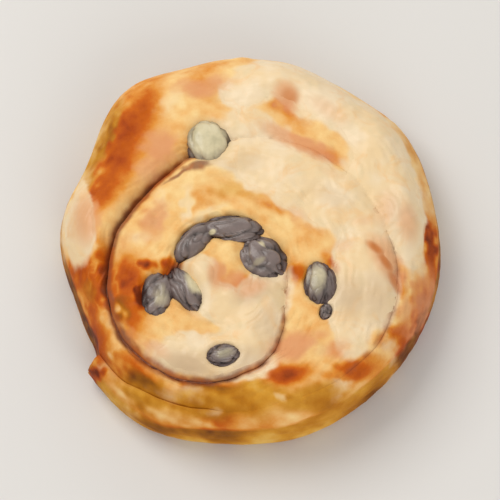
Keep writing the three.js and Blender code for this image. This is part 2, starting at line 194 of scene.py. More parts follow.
# %% [markdown]
# ## The dough's height
#
# The crest of the strip climbs from the thin loose end to the heart. From the crest the top
# rounds down to the seam on one side and to the free wall on the other. One function gives
# that smooth top for any turn, and *locate* finds the turn of any plan place, so the raisins,
# the icing and the dough all agree about where the surface is.

# %% Crest and lumps
def crest_height(turn):
    """Four heights joined by soft ramps: loose end, first turn, second turn, heart."""
    first = TAIL_CREST + (OUTER_CREST - TAIL_CREST) * ramp(*TAIL_RISE, turn)
    second = (INNER_CREST - OUTER_CREST) * ramp(*SECOND_RISE, turn)
    return first + second + (HEART_CREST - INNER_CREST) * ramp(*HEART_RISE, turn)


def lump(x, y):
    """A few crossed plane waves, and a bell for the nub at the strip's inner end."""
    height = NUB_HEIGHT * np.exp(-((x - NUB[0]) ** 2 + (y - NUB[1]) ** 2) / (2 * NUB_SPREAD ** 2))
    for wave, (along_x, along_y), start in LUMP_WAVES:
        height = height + wave * np.sin(x / along_x + y / along_y + start)
    return height


print("crest height at each half turn:", np.round(crest_height(half_turns), 1))


# %% How the top falls at its edges
def fall_from(edge, depth, run):
    """depth at the edge, easing out as the square of the way left to run."""
    return depth * np.maximum(0, 1 - edge / np.maximum(run, 1e-6)) ** 2


def strip_edges(turn):
    """The strip's inner and outer radius at a turn."""
    inner = seam_radius(np.minimum(turn, SEAM_END)) + SEAM_FACE
    seam_side = seam_radius(np.maximum(0, turn - 1)) - SEAM_FACE
    free = 1 - ramp(OUTLINE_END, 1, turn)
    outer = seam_side + free * (outline_radius(np.minimum(turn, 1)) - seam_side)
    return inner, outer


def healed(turn):
    """The share of its full depth that the groove keeps: less where the seam has closed."""
    return 1 - SEAM_HEALING * (1 - seam_openness(np.maximum(0, turn)))


def heart_fall(turn, from_outer):
    """The heart rounds down to the seam, which runs out at its end."""
    end = SEAM_END + 1
    depth = SEAM_FALL * healed(turn - 1) * (1 - ramp(end - GROOVE_CLOSING, end, turn))
    return fall_from(from_outer, depth, SEAM_FALL_RUN)


def top_falls(turn, from_inner, from_outer):
    """How far the top lies under its crest: towards the seams, and towards the free wall."""
    width = from_inner + from_outer
    open_seam = 1 - ramp(SEAM_END - GROOVE_CLOSING, SEAM_END, turn)
    inner_depth = healed(turn) * np.minimum(SEAM_FALL, SEAM_FALL_PER_WIDTH * width)
    inner = fall_from(from_inner, inner_depth, np.minimum(SEAM_FALL_RUN, width))
    outer = fall_from(from_outer, SEAM_FALL * healed(turn - 1), SEAM_FALL_RUN)
    shoulder_depth = np.minimum(SHOULDER_FALL, SHOULDER_FALL_PER_WIDTH * width)
    shoulder = fall_from(from_outer, shoulder_depth, np.minimum(SHOULDER_RUN, width))
    free = 1 - ramp(1, SHOULDER_END, turn)
    heart = turn >= SEAM_END
    seam = np.where(heart, heart_fall(turn, from_outer), open_seam * inner + (1 - free) * outer)
    return seam, np.where(heart, 0, free * shoulder)


def plain_height(turn, from_inner, from_outer, x, y):
    """The top without relief: the crest less its falls, plus the lumps."""
    seam, wall = top_falls(turn, from_inner, from_outer)
    return crest_height(turn) - seam - wall + lump(x, y)


print("fall at the open seam's lip:", top_falls(0.75, 0, 10)[0].round(2))


# %% One height over the closed seam
def seam_edges(turn):
    """Heights of the two dough edges that face each other over the seam: the one outside it,
    and the one inside it, which is a turn further on."""
    x, y = from_heart(turn, seam_radius(turn))
    inner, outer = strip_edges(turn)
    outside = plain_height(turn, np.zeros_like(turn), outer - inner, x, y)
    inner, outer = strip_edges(turn + 1)
    return outside, plain_height(turn + 1, outer - inner, np.zeros_like(turn), x, y)


def top_height(turn, from_inner, from_outer, x, y):
    """The top without relief, led to one shared height where the seam has closed, so that no
    step is left there."""
    own_seam, outer_seam = np.clip(turn, 0, SEAM_END), np.clip(turn - 1, 0, SEAM_END)
    outside, inside = seam_edges(own_seam)
    own_closed = (1 - seam_openness(own_seam)) * (turn < SEAM_END)
    lead = own_closed * (inside - outside) / 2 * fall_from(from_inner, 1, SEAM_LEAD)
    outside, inside = seam_edges(outer_seam)
    outer_closed = (1 - seam_openness(outer_seam)) * (turn >= 1)
    lead = lead - outer_closed * (inside - outside) / 2 * fall_from(from_outer, 1, SEAM_LEAD)
    return plain_height(turn, from_inner, from_outer, x, y) + lead


print("step at each half turn of the seam:", np.round(np.subtract(*seam_edges(half_turns)), 1))


# %% [markdown]
# ## Raisins, icing pools and browning, as lists of ellipses
#
# Food is uneven by nature, and the photograph shows where: nine raisins, some pools of thick
# icing, patches that the oven browned more, and a few dark patches of painted shadow beside two
# raisins. Each is an ellipse in the plan. A raisin has its whole length, width and height; every
# other ellipse is one row, with its middle, its half length, its half width and the bearing of its
# length, and a patch ends with its strength.

# %% What lies where
RAISINS = {
    "raisin_arc_left": dict(at=(-14.0, -3.1), size=(14, 8.2, 8), bearing=49, proud=0.9),
    "raisin_arc_middle": dict(at=(-4.2, 0.5), size=(16.5, 8.2, 8), bearing=-3, proud=1.2),
    "raisin_arc_right": dict(at=(3.0, -6.8), size=(14.6, 12.2, 8), bearing=-42, proud=1.4),
    "raisin_left": dict(at=(-22.9, -16.7), size=(13.6, 9.6, 7.5), bearing=80, proud=1.2),
    "raisin_heart": dict(at=(-15.6, -15.8), size=(13.5, 8.2, 7.5), bearing=118, proud=0.8),
    "raisin_right": dict(at=(17.2, -13.6), size=(12.2, 9, 6), bearing=98, proud=1.9),
    "raisin_bit": dict(at=(18.6, -21.4), size=(4.6, 3.6, 4), bearing=70, proud=1.1),
    "raisin_top": dict(at=(-10.2, 24.2), size=(14, 12.2, 8), bearing=104, proud=1.6),
    "raisin_bottom": dict(at=(-6.6, -33.2), size=(8.6, 6.2, 5), bearing=10, proud=1.5),
}
# Icing caps on the raisins; the small rows on the arc raisins are painted highlights, pale spots
# where light glints on the skin.
RAISIN_CAPS_AND_GLINTS = [
    (-10.4, 24.9, 6.6, 6, 104, 1.15), (-22, -17.6, 4.2, 2.8, 94, 0.66),
    (16.6, -12.8, 5.2, 3.6, 96, 0.74), (-6, -33.2, 3.4, 1.9, 10, 0.6),
    (-9.3, -0.6, 1, 0.8, 20, 1), (3, -3.6, 1.8, 0.9, -50, 0.9), (1.8, -8.8, 3.4, 1.4, 35, 0.62),
    (-0.4, -6.4, 1.6, 1, 60, 0.5), (-13.2, -13.4, 3, 4.4, 8, 1.3),
]
# Bare skin without film; the first row is painted shadow on raisin_left's left rim, in the gap
# beside the dough.
RAISIN_BARE_AND_SHADED = [
    (-26.6, -18, 1.7, 5, -4, 1), (-16.6, -9.4, 1.6, 1.6, 0, 0.7),
]
ICING_SHEETS = {
    "icing_turns": [
        (13, 12.8, 22, 6.6, -32), (-0.8, 38.2, 5.4, 3.8, 12), (4.6, 42.4, 6.5, 3.2, -12),
        (2, 22, 10, 7, -60), (17, 37.5, 14.5, 5.6, -30), (30, 26.5, 11, 5, -52),
        (37, 9, 15, 4.6, 102), (30.5, 14, 8, 5.5, -60), (27.5, -4, 11, 5.5, 80),
        (24.5, -19.5, 11, 4.4, 92), (31.5, -15.5, 8.5, 4.4, 84),
    ],
    "icing_heart": [
        (2, -20.5, 10, 5.5, 62), (-6.6, -19.8, 7.5, 4.2, -24), (-12.2, -12.4, 4.6, 3.6, 96),
        (-9, -33, 13, 4.6, -6), (0.5, -29, 6, 5, 60),
    ],
    "icing_edge": [
        (-42.6, 6, 11, 3.1, 97),
    ],
}
ICING_THICKNESS, ICING_SEAM_FILL, ICING_BLEND = 0.8, 0.4, 5
ALL_POOLS = sum(ICING_SHEETS.values(), [])
print(len(RAISINS), "raisins and", len(ALL_POOLS), "pools of icing")

# %% Patches of colour
BROWNED_AND_SHADED = [
    (-30.8, 25, 17, 6.4, 68, 0.74), (-35.4, 13.5, 8, 4.6, 70, 0.74),
    (-35.8, -11, 9, 3, -84, 0.86), (-42.2, -7.5, 6, 3.8, -75, 0.58),
    (-30, -13.5, 7, 4.4, -80, 0.84), (-29.4, -20.5, 6, 3.6, -68, 0.6),
    (-25.6, -9, 2.6, 1.4, -20, 0.95), (-37.4, -25.5, 7, 2.8, -68, 0.66),
    (-38.6, -33.2, 3.2, 2.4, 40, 1.05), (-41.5, -15.5, 5, 3, -75, 0.34),
    (8.5, -37.4, 7.5, 2.6, 4, 0.76), (26, -35.4, 8, 2.8, 20, 0.57), (37, -26.5, 6, 3.2, 52, 0.6),
    (24, -30.6, 5, 2.2, 30, 0.42), (44.6, -1, 8, 2.2, 92, 1), (42.6, -18, 9, 2.8, 75, 0.72),
    (30.8, -4.6, 4.6, 1.9, -40, 0.72), (33.4, -8.2, 5, 2, -56, 0.7),
    (35.6, -13, 5.5, 2.2, -68, 0.68), (-2.6, -14.6, 4.4, 2.4, 20, 0.5),
    (11.3, -10.4, 3.2, 2.4, -20, 0.62), (-29.5, -33.5, 6, 2.4, -30, 0.5),
    # The first row here, at (-27.2, -17.4), is painted shadow in the gap beside raisin_left, not
    # browning.
    (-27.2, -17.4, 2, 4.6, 0, 1.2), (9.8, 36.4, 4, 4.4, 10, 0.62), (-19.8, -10, 3, 2.6, 40, 0.8),
    (19.6, 20.6, 4, 2, -25, 0.45), (20.8, -9.8, 2.4, 4, 24, 0.6), (-7, -47.5, 5, 2.2, 0, 0.4),
    (-38.8, -20, 5, 2.8, -72, 0.55), (8, 5.4, 4.5, 1.8, -40, 0.4), (-14, 43.5, 8, 2.2, 14, 0.15),
    (-12, -40.6, 9, 1.6, 0, 0.4), (-27, -36.6, 6, 2.2, -38, 0.5),
]
PALE = [
    (-45.4, 5, 9, 2.6, 97, 0.75), (34.6, -29.6, 2.6, 2, 50, 0.55),
    (23.1, -39.6, 3.4, 1.4, 25, 0.6), (7.6, -43.6, 2.2, 1.1, 0, 0.55),
    (-9.4, -45.2, 3, 1.4, -5, 0.4), (-17.3, -41.4, 7, 1.8, -12, 0.45),
    (-19.4, 35.3, 4, 3, 60, 0.5), (-15.6, 6.8, 4.6, 1.7, 82, 0.8),
    (-26.6, -2.2, 3.4, 2.6, 0, 0.42), (-10.5, 5.6, 5, 1.4, 24, 0.6),
    (-8.8, 18.2, 4.8, 2, 5, 0.95), (14.6, 46, 13, 3.2, -12, 0.75), (-0.9, 38.4, 5, 3.2, 12, 0.8),
    (-36.4, -31, 2.4, 1, -30, 0.3), (24, -25, 6, 2.6, 40, 0.3), (-31.5, -42.4, 8, 2.4, -44, 0.4),
    (33, 33, 12, 3, -48, 0.5), (43, 12, 9, 3, 100, 0.35), (-21.4, 8, 1.4, 4.4, 12, 0.4),
    (30.6, -12, 3, 5, -30, 0.45), (-41.5, 17, 5, 2.2, 66, 0.5), (-38.4, 28, 8, 2.2, 62, 0.4),
]
ROSY = [
    (-40.4, 4.4, 9, 4.2, 95, 0.9), (-22.6, 23.2, 7, 5.5, 60, 0.85),
    (-24.6, 17.6, 6, 4.6, 50, 0.75), (-23.6, 2.6, 8, 4.6, 70, 0.72), (-12, 40, 9, 4.2, 8, 0.8),
    (9, 36.8, 3.8, 4.6, 10, 1), (12.5, 24, 13, 3, -28, 1), (10.4, -30.4, 8, 4.5, 20, 0.95),
    (33.4, 6.6, 7, 4.4, 70, 0.55), (19.6, 33, 8, 3.2, -35, 0.5), (-4.6, -13.4, 5, 3.4, 20, 0.8),
    (43, -13.8, 10, 4, 80, 0.75), (-23.5, -31, 6, 2.6, -35, 0.65), (1.5, -36, 6, 1.6, 24, 0.7),
    (34, -8, 10, 4.2, -58, 0.9), (20.5, -31.5, 6, 3.6, 20, 0.7), (38.5, -20.5, 7, 3.4, 70, 0.65),
    (23, -4, 4, 2.6, 30, 0.5), (16.2, -27.2, 5, 2.6, 30, 0.6), (-29, -27, 5, 2.6, -60, 0.5),
    (11.6, 3.6, 3.4, 4.4, 20, 0.55), (-30.8, -3, 3.6, 5, 0, 0.5), (0.4, -15.6, 5.4, 3, 24, 0.75),
    (-8.2, -12.2, 2.8, 4.6, 0, 1), (39, 3, 3.4, 7, 5, 0.7), (28.5, 3, 5, 2.2, 10, 0.5),
    (20, 15.5, 5, 2, -30, 0.4), (-43.5, 3, 6, 2, 95, 0.5),
]
GOLDEN = [
    (-38.4, 27, 15, 4.8, 64, 1), (-5, -43.5, 21, 4.6, 0, 1), (-25, -40, 11, 4, -30, 0.9),
    (15, -43.2, 13, 3.4, 12, 0.9), (-39.5, -13.2, 5, 2.6, -72, 0.6), (40, 26, 10, 3, 122, 0.45),
    (-30.8, -20.6, 5, 2.6, -70, 0.75), (-3, 10.8, 10, 3.2, -6, 0.55), (-41, 16.5, 6, 3, 72, 0.8),
]
DULL = [
    (-15.5, -35.4, 7, 3.2, -12, 1), (-2, -33.4, 5, 2.4, 20, 0.5), (24.8, -17.6, 4.4, 6, 0, 0.75),
    (31, -17.5, 4, 7, 0, 0.7), (3.4, -24.5, 3.6, 5.4, -20, 0.5), (0.8, -16.6, 5.4, 3.6, 20, 0.95),
    (36.5, 3, 4, 6, 10, 0.4), (-1, 18.5, 4, 3, 0, 0.35), (-8.8, 18.2, 4.8, 2, 5, 0.3),
    (20, 9, 7, 2.4, -30, 0.3),
]
# Painted shadow: the dark wedge below the top raisin, where the seam starts.
SHADOW_BELOW_TOP_RAISIN = [
    (-13.4, 16.6, 3.6, 1.8, 4, 1), (-17.4, 14.8, 5, 0.9, 24, 0.85),
]
SEAM_STAIN = np.array([
    0.45, 0.1, 0.1, 0.6, 0.3, 0.1, 1.0, 1.0,
    1.0, 0.9, 0.75, 0.6, 0.3, 0.2, 0.3, 1.0, 0.6,
])
print("patches of colour:", len(BROWNED_AND_SHADED + PALE + ROSY + GOLDEN + DULL + SHADOW_BELOW_TOP_RAISIN))


# %% Reading the ellipses
def inside_ellipse(x, y, middle_x, middle_y, half_length, half_width, bearing):
    """1 at an ellipse's middle, 0 on its rim and falling on below zero outside: one minus the
    squares of the two distances along and across it, each as a share of its half size."""
    turned = math.radians(bearing)
    dx, dy = x - middle_x, y - middle_y
    along = (dx * math.cos(turned) + dy * math.sin(turned)) / half_length
    across = (dy * math.cos(turned) - dx * math.sin(turned)) / half_width
    return 1 - along ** 2 - across ** 2


def raisin_reach(x, y, raisin):
    """The distance from a raisin's middle as a share of the way to its rim: 1 on the rim."""
    half_sizes = raisin["size"][0] / 2, raisin["size"][1] / 2
    inside = inside_ellipse(x, y, *raisin["at"], *half_sizes, raisin["bearing"])
    return np.sqrt(np.maximum(0, 1 - inside))


BELL_FALL, BELL_POWER = 1.1, 1.4
NEARLY_NOTHING = 1e-300


def patches(x, y, ellipses):
    """The strongest of several soft patches: each is its strength times a bell over its ellipse,
    the exponential of minus a power of the squared share of the way to the rim."""
    strength = np.zeros(np.shape(x))
    for *ellipse, amount in ellipses:
        outward = np.maximum(0, 1 - inside_ellipse(x, y, *ellipse))
        strength = np.maximum(strength, amount * np.exp(-BELL_FALL * outward ** BELL_POWER))
    return strength


def pool_level(x, y, pools):
    """The smooth largest of several ellipses, so that pools that touch flow together: the
    logarithm of the sum of their exponentials, which are never all nothing."""
    total = sum(np.exp(ICING_BLEND * inside_ellipse(x, y, *pool)) for pool in pools)
    return np.log(np.maximum(total, NEARLY_NOTHING)) / ICING_BLEND


print("pool level at the heart:", pool_level(*HEART, ICING_SHEETS["icing_heart"]).round(2))


# %% [markdown]
# ## Natural unevenness from waves
#
# Dough, icing and raisins all need soft irregular relief that is the same on every run. A sum
# of plane waves in random directions gives that: it is smooth, has one clear scale, and needs
# only a seed.

# %% Wave noise
def waves(coordinates, wavelength, seed, count=14):
    """Mostly -1 to 1: the mean of cosines along random directions, whose wavelengths spread by
    a third round the one given, times a factor that evens out their number."""
    rng = np.random.default_rng(seed)
    total = 0
    for _ in range(count):
        direction = rng.normal(size=len(coordinates))
        direction /= np.linalg.norm(direction)
        rate = 2 * math.pi / (wavelength * rng.uniform(0.75, 1.35))
        phase = rng.uniform(0, 2 * math.pi)
        total = total + np.cos(rate * sum(d * c for d, c in zip(direction, coordinates)) + phase)
    return total / math.sqrt(count) / 1.2


one_line = waves((np.linspace(0, 100, 400),), 9, seed=1)
print("waves along a line lie between", one_line.min().round(2), "and", one_line.max().round(2))


# %% [markdown]
# ## From arrays to a mesh
#
# Every surface here is a grid of points. This helper writes a mesh in one go, with any number
# of named values on its points for the materials to read, merges doubled points, and leaves
# the object at the origin with its place in its mesh.

# %% Mesh helpers
def grid_faces(rows, columns, wrap=False):
    """The corner numbers of each quad of a grid; wrap joins the last column to the first."""
    row = np.arange(rows - 1)[:, None]
    column = np.arange(columns if wrap else columns - 1)[None, :]
    beside = (column + 1) % columns
    corners = np.broadcast_arrays(row * columns + column, row * columns + beside,
                                  (row + 1) * columns + beside, (row + 1) * columns + column)
    return np.stack(corners, axis=-1).reshape(-1, 4)


def weld(points, faces, values, tolerance=1e-4):
    """Gives points that share a place one number, and drops faces that lose a side by it."""
    keys = np.round(points / tolerance).astype(np.int64)
    _, first, number = np.unique(keys, axis=0, return_index=True, return_inverse=True)
    number = number.reshape(-1)
    triangles = []
    for face in (faces[:, [0, 1, 2]], faces[:, [0, 2, 3]]):
        face = number[face]
        whole = (face[:, 0] != face[:, 1]) & (face[:, 1] != face[:, 2]) & (face[:, 2] != face[:, 0])
        triangles.append(face[whole])
    return points[first], np.concatenate(triangles), {k: v[first] for k, v in values.items()}


def make_piece(name, points, faces, values):
    """A mesh object from points in plan millimetres, quads and named values on the points."""
    points, triangles, values = weld(points, faces, values)
    mesh = bpy.data.meshes.new(name)
    mesh.vertices.add(len(points))
    metres = (points + (SHIFT[0], SHIFT[1], 0)) * MM
    mesh.vertices.foreach_set("co", metres.astype(np.float32).ravel())
    mesh.loops.add(triangles.size)
    mesh.loops.foreach_set("vertex_index", triangles.astype(np.int32).ravel())
    mesh.polygons.add(len(triangles))
    mesh.polygons.foreach_set("loop_start", np.arange(0, triangles.size, 3, dtype=np.int32))
    mesh.update(calc_edges=True)
    mesh.polygons.foreach_set("use_smooth", np.ones(len(triangles), dtype=bool))
    for key, value in values.items():
        layer = mesh.attributes.new(key, "FLOAT", "POINT")
        layer.data.foreach_set("value", value.astype(np.float32))
    mesh.validate()
    piece = bpy.data.objects.new(name, mesh)
    bpy.context.scene.collection.objects.link(piece)
    print(name, len(points), "points", len(triangles), "triangles")
    return piece


print("a grid of 3 by 4 points has", len(grid_faces(3, 4)), "quads")


# %% [markdown]
# ## Shader maths as expressions
#
# A material is a small flow of numbers, vectors and colours. Wrapping each link in a class
# lets the sums be written as they are thought: `1 - mask`, `bake + 0.2 * noise`.

# %% Numbers that flow between nodes
def operator(operation, reflected=False):
    """A method for one operator, which adds a Math node; reflected where the flow is second."""
    def method(self, other):
        return self.math(operation, *((other, self) if reflected else (self, other)))
    return method


class Flow:
    """A link that leaves a shader node. Arithmetic on it adds Math nodes to its finish."""
    __add__, __radd__ = operator("ADD"), operator("ADD", reflected=True)
    __sub__, __rsub__ = operator("SUBTRACT"), operator("SUBTRACT", reflected=True)
    __mul__, __rmul__ = operator("MULTIPLY"), operator("MULTIPLY", reflected=True)

    def __init__(self, finish, socket):
        self.finish, self.socket = finish, socket

    def math(self, operation, *terms):
        inputs = dict(enumerate(terms))
        return self.finish.node("ShaderNodeMath", {"operation": operation}, inputs)

    def between(self, low, high):
        """0 below low, 1 above high, soft between."""
        settings = {"interpolation_type": "SMOOTHSTEP"}
        inputs = {"Value": self, "From Min": low, "From Max": high}
        return self.finish.node("ShaderNodeMapRange", settings, inputs)


def light(colour):
    """A colour as picked on a screen, 0 to 255, in the renderer's linear light: a power of each
    share, and a straight line near black. A link is left as it is."""
    if isinstance(colour, Flow):
        return colour
    parts = [part / 255 for part in colour]
    return (*[p / 12.92 if p <= 0.04045 else ((p + 0.055) / 1.055) ** 2.4 for p in parts], 1.0)


print("the middle grey of a screen in linear light:", np.round(light((128, 128, 128)), 3))


# %% A finish while it is being made
class Finish:
    """One material. Its methods add nodes and take colours as they are picked on a screen."""

    def __init__(self, name):
        self.material = bpy.data.materials.new(name)
        self.material.use_nodes = True
        self.tree = self.material.node_tree
        self.tree.nodes.clear()

    def node(self, kind, settings=None, inputs=None, output=0):
        """Adds a node. Settings are set first, a ramp's stops among them; inputs are values
        or links by socket name or number. Returns the wanted output, if the node has any."""
        made = self.tree.nodes.new(kind)
        for key, value in (settings or {}).items():
            if key == "stops":
                self.set_stops(made.color_ramp, value)
            else:
                setattr(made, key, value)
        for key, value in (inputs or {}).items():
            if isinstance(value, Flow):
                self.tree.links.new(value.socket, made.inputs[key])
            else:
                made.inputs[key].default_value = value
        return Flow(self, made.outputs[output]) if len(made.outputs) else None

    @staticmethod
    def set_stops(color_ramp, stops):
        while len(color_ramp.elements) < len(stops):
            color_ramp.elements.new(1.0)
        for element, (position, colour) in zip(color_ramp.elements, stops):
            element.position = position
            element.color = colour

    def value(self, name):
        """A value that was written on the mesh's points."""
        return self.node("ShaderNodeAttribute", {"attribute_name": name}, output="Fac")

    def noise(self, scale, detail=3.0, roughness=0.55, distortion=0.0):
        """Noise on Object coordinates, about 0.3 to 0.7, with its scale in waves per metre."""
        place = self.node("ShaderNodeTexCoord", output="Object")
        inputs = {"Vector": place, "Scale": scale, "Detail": detail,
                  "Roughness": roughness, "Distortion": distortion}
        return self.node("ShaderNodeTexNoise", {}, inputs)

    def mix(self, share, first, second):
        """A colour that goes from the first to the second with the share."""
        inputs = {0: share, 6: light(first), 7: light(second)}
        return self.node("ShaderNodeMix", {"data_type": "RGBA"}, inputs, output=2)

    def gradient(self, share, stops):
        """A colour from a ramp whose stops are given as position: colour."""
        stops = [(position, light(colour)) for position, colour in stops.items()]
        return self.node("ShaderNodeValToRGB", {"stops": stops}, {"Fac": share})

    def bump(self, height, distance, strength):
        inputs = {"Height": height, "Distance": distance, "Strength": strength}
        return self.node("ShaderNodeBump", {}, inputs)

    def surface(self, inputs):
        """The finished shader: one Principled node with these sockets, linked to the output."""
        shader = self.node("ShaderNodeBsdfPrincipled", {}, inputs)
        self.node("ShaderNodeOutputMaterial", {}, {"Surface": shader})
        print(self.material.name, "has", len(self.tree.nodes), "nodes")
        return self.material


# %% [markdown]
# ## The dough
#
# The real bun is one long strip of laminated dough, rolled up and laid flat, so its section is
# carried along the spiral here as well: over the top, down the wall, back under the base and up
# the inner face. At the end of the seam the strip closes on itself, and a last disc fills the
# heart. Everything is one closed skin, because a bun has no joints, and light should find none.

# %% Samples along and across the strip
STATIONS_PER_TURN = 300
TOP_POINTS, WALL_POINTS, BASE_POINTS, HEART_RINGS = 62, 16, 5, 30
FACE_POINTS = WALL_POINTS - 1
SEAM_CLOSING = 0.04
HEART_TURNS = 1

seam_stations = round(SEAM_END * STATIONS_PER_TURN)
stations = seam_stations + HEART_TURNS * STATIONS_PER_TURN
strip_turns = SEAM_END * np.arange(stations + 1) / seam_stations
print("stations along the strip:", stations + 1)


# %% The strip's edges with the lips drawn together
LIP_GAP_CLOSED, LIP_GAP_OPEN = -0.12, 0.26


def lip_gap(turn):
    """Half the width of the slit that is left between the seam's lips; below 0 they overlap."""
    return LIP_GAP_CLOSED + LIP_GAP_OPEN * seam_openness(np.maximum(0, turn))


def lip_edges(turn):
    """The strip's edges with its lips drawn close together over the seam: the outer edge keeps
    to the outline as long as the wall stands free."""
    inner, outer = strip_edges(turn)
    inner_draw, outer_draw = SEAM_FACE - lip_gap(turn), SEAM_FACE - lip_gap(turn - 1)
    return inner - inner_draw, outer + outer_draw * ramp(OUTLINE_END, 1, turn)


def core_radius(turn):
    """The edge between the strip's last turn and the disc at the heart. It leaves the seam's end
    at the heart's own radius and meets the strip's outer edge again one turn on."""
    _, outer = lip_edges(turn)
    end = np.array(SEAM_END)
    start = (seam_radius(end) - lip_gap(end)) / lip_edges(end)[1]
    return outer * (start + (1 - start) * np.clip(turn - SEAM_END, 0, 1))


def wall_freedom(turn):
    """1 where the strip's outer side is the bun's own wall, 0 where it stands in the seam."""
    return 1 - ramp(WALL_END, 1, turn)


def wall_top_inset(turn):
    """How far the top's edge lies inside the outline."""
    return WALL_TOP_INSET * wall_freedom(turn)


def closed_edges(turn):
    """The strip's two edges, with the seam narrowed to nothing at its end."""
    inner, outer = lip_edges(turn)
    inner = inner - 2 * lip_gap(turn) * ramp(SEAM_END - SEAM_CLOSING, SEAM_END, turn)
    return np.where(turn >= SEAM_END, core_radius(turn), inner), outer


print("slit at each half turn:", (2 * lip_gap(half_turns)).round(2))


# %% From a plan place to the strip
def locate(x, y):
    """The turn of a plan place, found by stepping inwards past each seam, and its distances to
    the two edges of the strip's top there. In the heart the first is the distance to its middle."""
    radius, turn = about_heart(x, y)
    for _ in range(2):
        turn = turn + ((turn < SEAM_END) & (radius < seam_radius(turn)))
    inner, outer = lip_edges(turn)
    from_inner = np.where(turn >= SEAM_END, radius, radius - inner)
    from_outer = outer - wall_top_inset(turn) - radius
    return turn, np.maximum(0, from_inner), np.maximum(0, from_outer)


raisin_x, raisin_y = np.array([raisin["at"] for raisin in RAISINS.values()]).T
print("turns at which the raisins lie:", locate(raisin_x, raisin_y)[0].round(2))


# %% [markdown]
# Relief comes next. The cut edges of the laminated layers run along the strip, so their ridges
# follow the distance across it; proving and baking add soft blisters; and each raisin pushes
# the dough down under itself and up a little round its rim.

# %% Relief on the dough
LAYER_PITCH, LAYER_DEPTH, LAYER_LEAN = 1.9, 0.14, 0.45
BLISTER_HEIGHT, GRAIN_HEIGHT = 0.5, 0.06
RAISIN_SOCKET, RAISIN_COLLAR = 1.5, 0.35
COLLAR_REACH, COLLAR_SPREAD = 1.25, 0.22


def layer_ridges(x, y):
    """Waves round the heart whose phase wanders slowly over the plan. The wave leans, because a
    second wave at twice its rate is taken away, so each layer rises softly and drops sharply.
    They come and go in patches, and fade out at the heart, where all of them would meet."""
    wander = 4.0 * waves((x, y), 19, seed=3) + 1.6 * waves((x, y), 6, seed=4)
    strength = np.clip(0.25 + 0.8 * waves((x, y), 10, seed=5), 0, 1)
    radius, _ = about_heart(x, y)
    strength = strength * ramp(3, 9, radius)
    phase = 2 * math.pi * radius / LAYER_PITCH + wander
    ridge = np.sin(phase) - LAYER_LEAN * np.sin(2 * phase)
    return LAYER_DEPTH * strength * ridge


def raisin_dents(x, y):
    """A hollow under each raisin and a low collar round it."""
    dent = np.zeros(np.shape(x))
    for raisin in RAISINS.values():
        reach = raisin_reach(x, y, raisin)
        dent -= RAISIN_SOCKET * (1 - ramp(0.55, 1.05, reach))
        dent += RAISIN_COLLAR * np.exp(-((reach - COLLAR_REACH) / COLLAR_SPREAD) ** 2)
    return dent


def top_relief(x, y):
    """All the relief on the top: layers, blisters, a fine grain, and the raisins' hollows."""
    blisters = BLISTER_HEIGHT * np.maximum(0, waves((x, y), 8, seed=6) - 0.3)
    grain = GRAIN_HEIGHT * waves((x, y), 2.4, seed=7)
    return layer_ridges(x, y) + blisters + grain + raisin_dents(x, y)


print("relief under the raisins' middles:", top_relief(raisin_x, raisin_y).round(2))


# %% The strip's section, station by station
WALL_CREASE, WALL_FOOT_POWER = 0.35, 2.6


def wall_inset(height, top_height, free):
    """How far the free wall lies inside the outline: nothing at the bulge, growing as a square
    towards the top and as a higher power towards the foot."""
    over = height - WALL_BULGE_HEIGHT
    above = np.maximum(0, over) / np.maximum(0.1, top_height - WALL_BULGE_HEIGHT)
    below = np.maximum(0, -over) / WALL_BULGE_HEIGHT
    return free * (WALL_TOP_INSET * above ** 2 + FOOT_INSET * below ** WALL_FOOT_POWER)


def smooth_top(turn, radius, inner, outer):
    """Height of the top without relief, at a radius between the strip's two edges."""
    x, y = from_heart(turn, radius)
    from_inner = np.where(turn >= SEAM_END, radius, radius - inner)
    return top_height(turn, np.maximum(0, from_inner), np.maximum(0, outer - radius), x, y), x, y


def strip_skin():
    """Points and values of the strip: one row a station, one column a point of the section."""
    turn = strip_turns[:, None]
    inner, outer = closed_edges(turn)
    free = wall_freedom(turn)
    edge = outer - wall_top_inset(turn)
    even = np.linspace(0, 1, TOP_POINTS)[None, :]
    share = 0.5 * even + 0.5 * (1 - np.cos(math.pi * even)) / 2
    radius = inner + (edge - inner) * share
    z, x, y = smooth_top(turn, radius, inner, edge)
    z = z + top_relief(x, y)
    top = np.stack([x, y, z], axis=-1)

    edge_height = z[:, -1:]
    down = np.linspace(0, 1, WALL_POINTS + 1)[None, 1:]
    wall_z = edge_height * (1 - down)
    wall_radius = outer - wall_inset(wall_z, edge_height, free)
    wall_x, wall_y = from_heart(turn, wall_radius)
    crease = waves((wall_x, wall_y, 2.5 * wall_z), 9, seed=8) * np.sin(math.pi * down)
    crease = WALL_CREASE * free * crease
    wall_x, wall_y = from_heart(turn, wall_radius - np.abs(crease))
    wall = np.stack([wall_x, wall_y, wall_z], axis=-1)

    back = np.linspace(0, 1, BASE_POINTS + 1)[None, 1:]
    base_radius = wall_radius[:, -1:] + (inner - wall_radius[:, -1:]) * back
    base_x, base_y = from_heart(turn, base_radius)
    base = np.stack([base_x, base_y, np.zeros_like(base_x)], axis=-1)

    up = np.linspace(0, 1, FACE_POINTS + 2)[None, 1:-1]
    face_x, face_y = from_heart(turn, inner + 0 * up)
    face = np.stack([face_x, face_y, z[:, :1] * up], axis=-1)
    return np.concatenate([top, wall, base, face], axis=1)


strip = strip_skin()
section = strip.shape[1]
print("strip grid:", strip.shape[:2])

# %% [markdown]
# The faces of the strip are all the grid's quads, except the inner face past the end of the
# seam, where strip and disc share their edge. The loose end is closed by a fan.

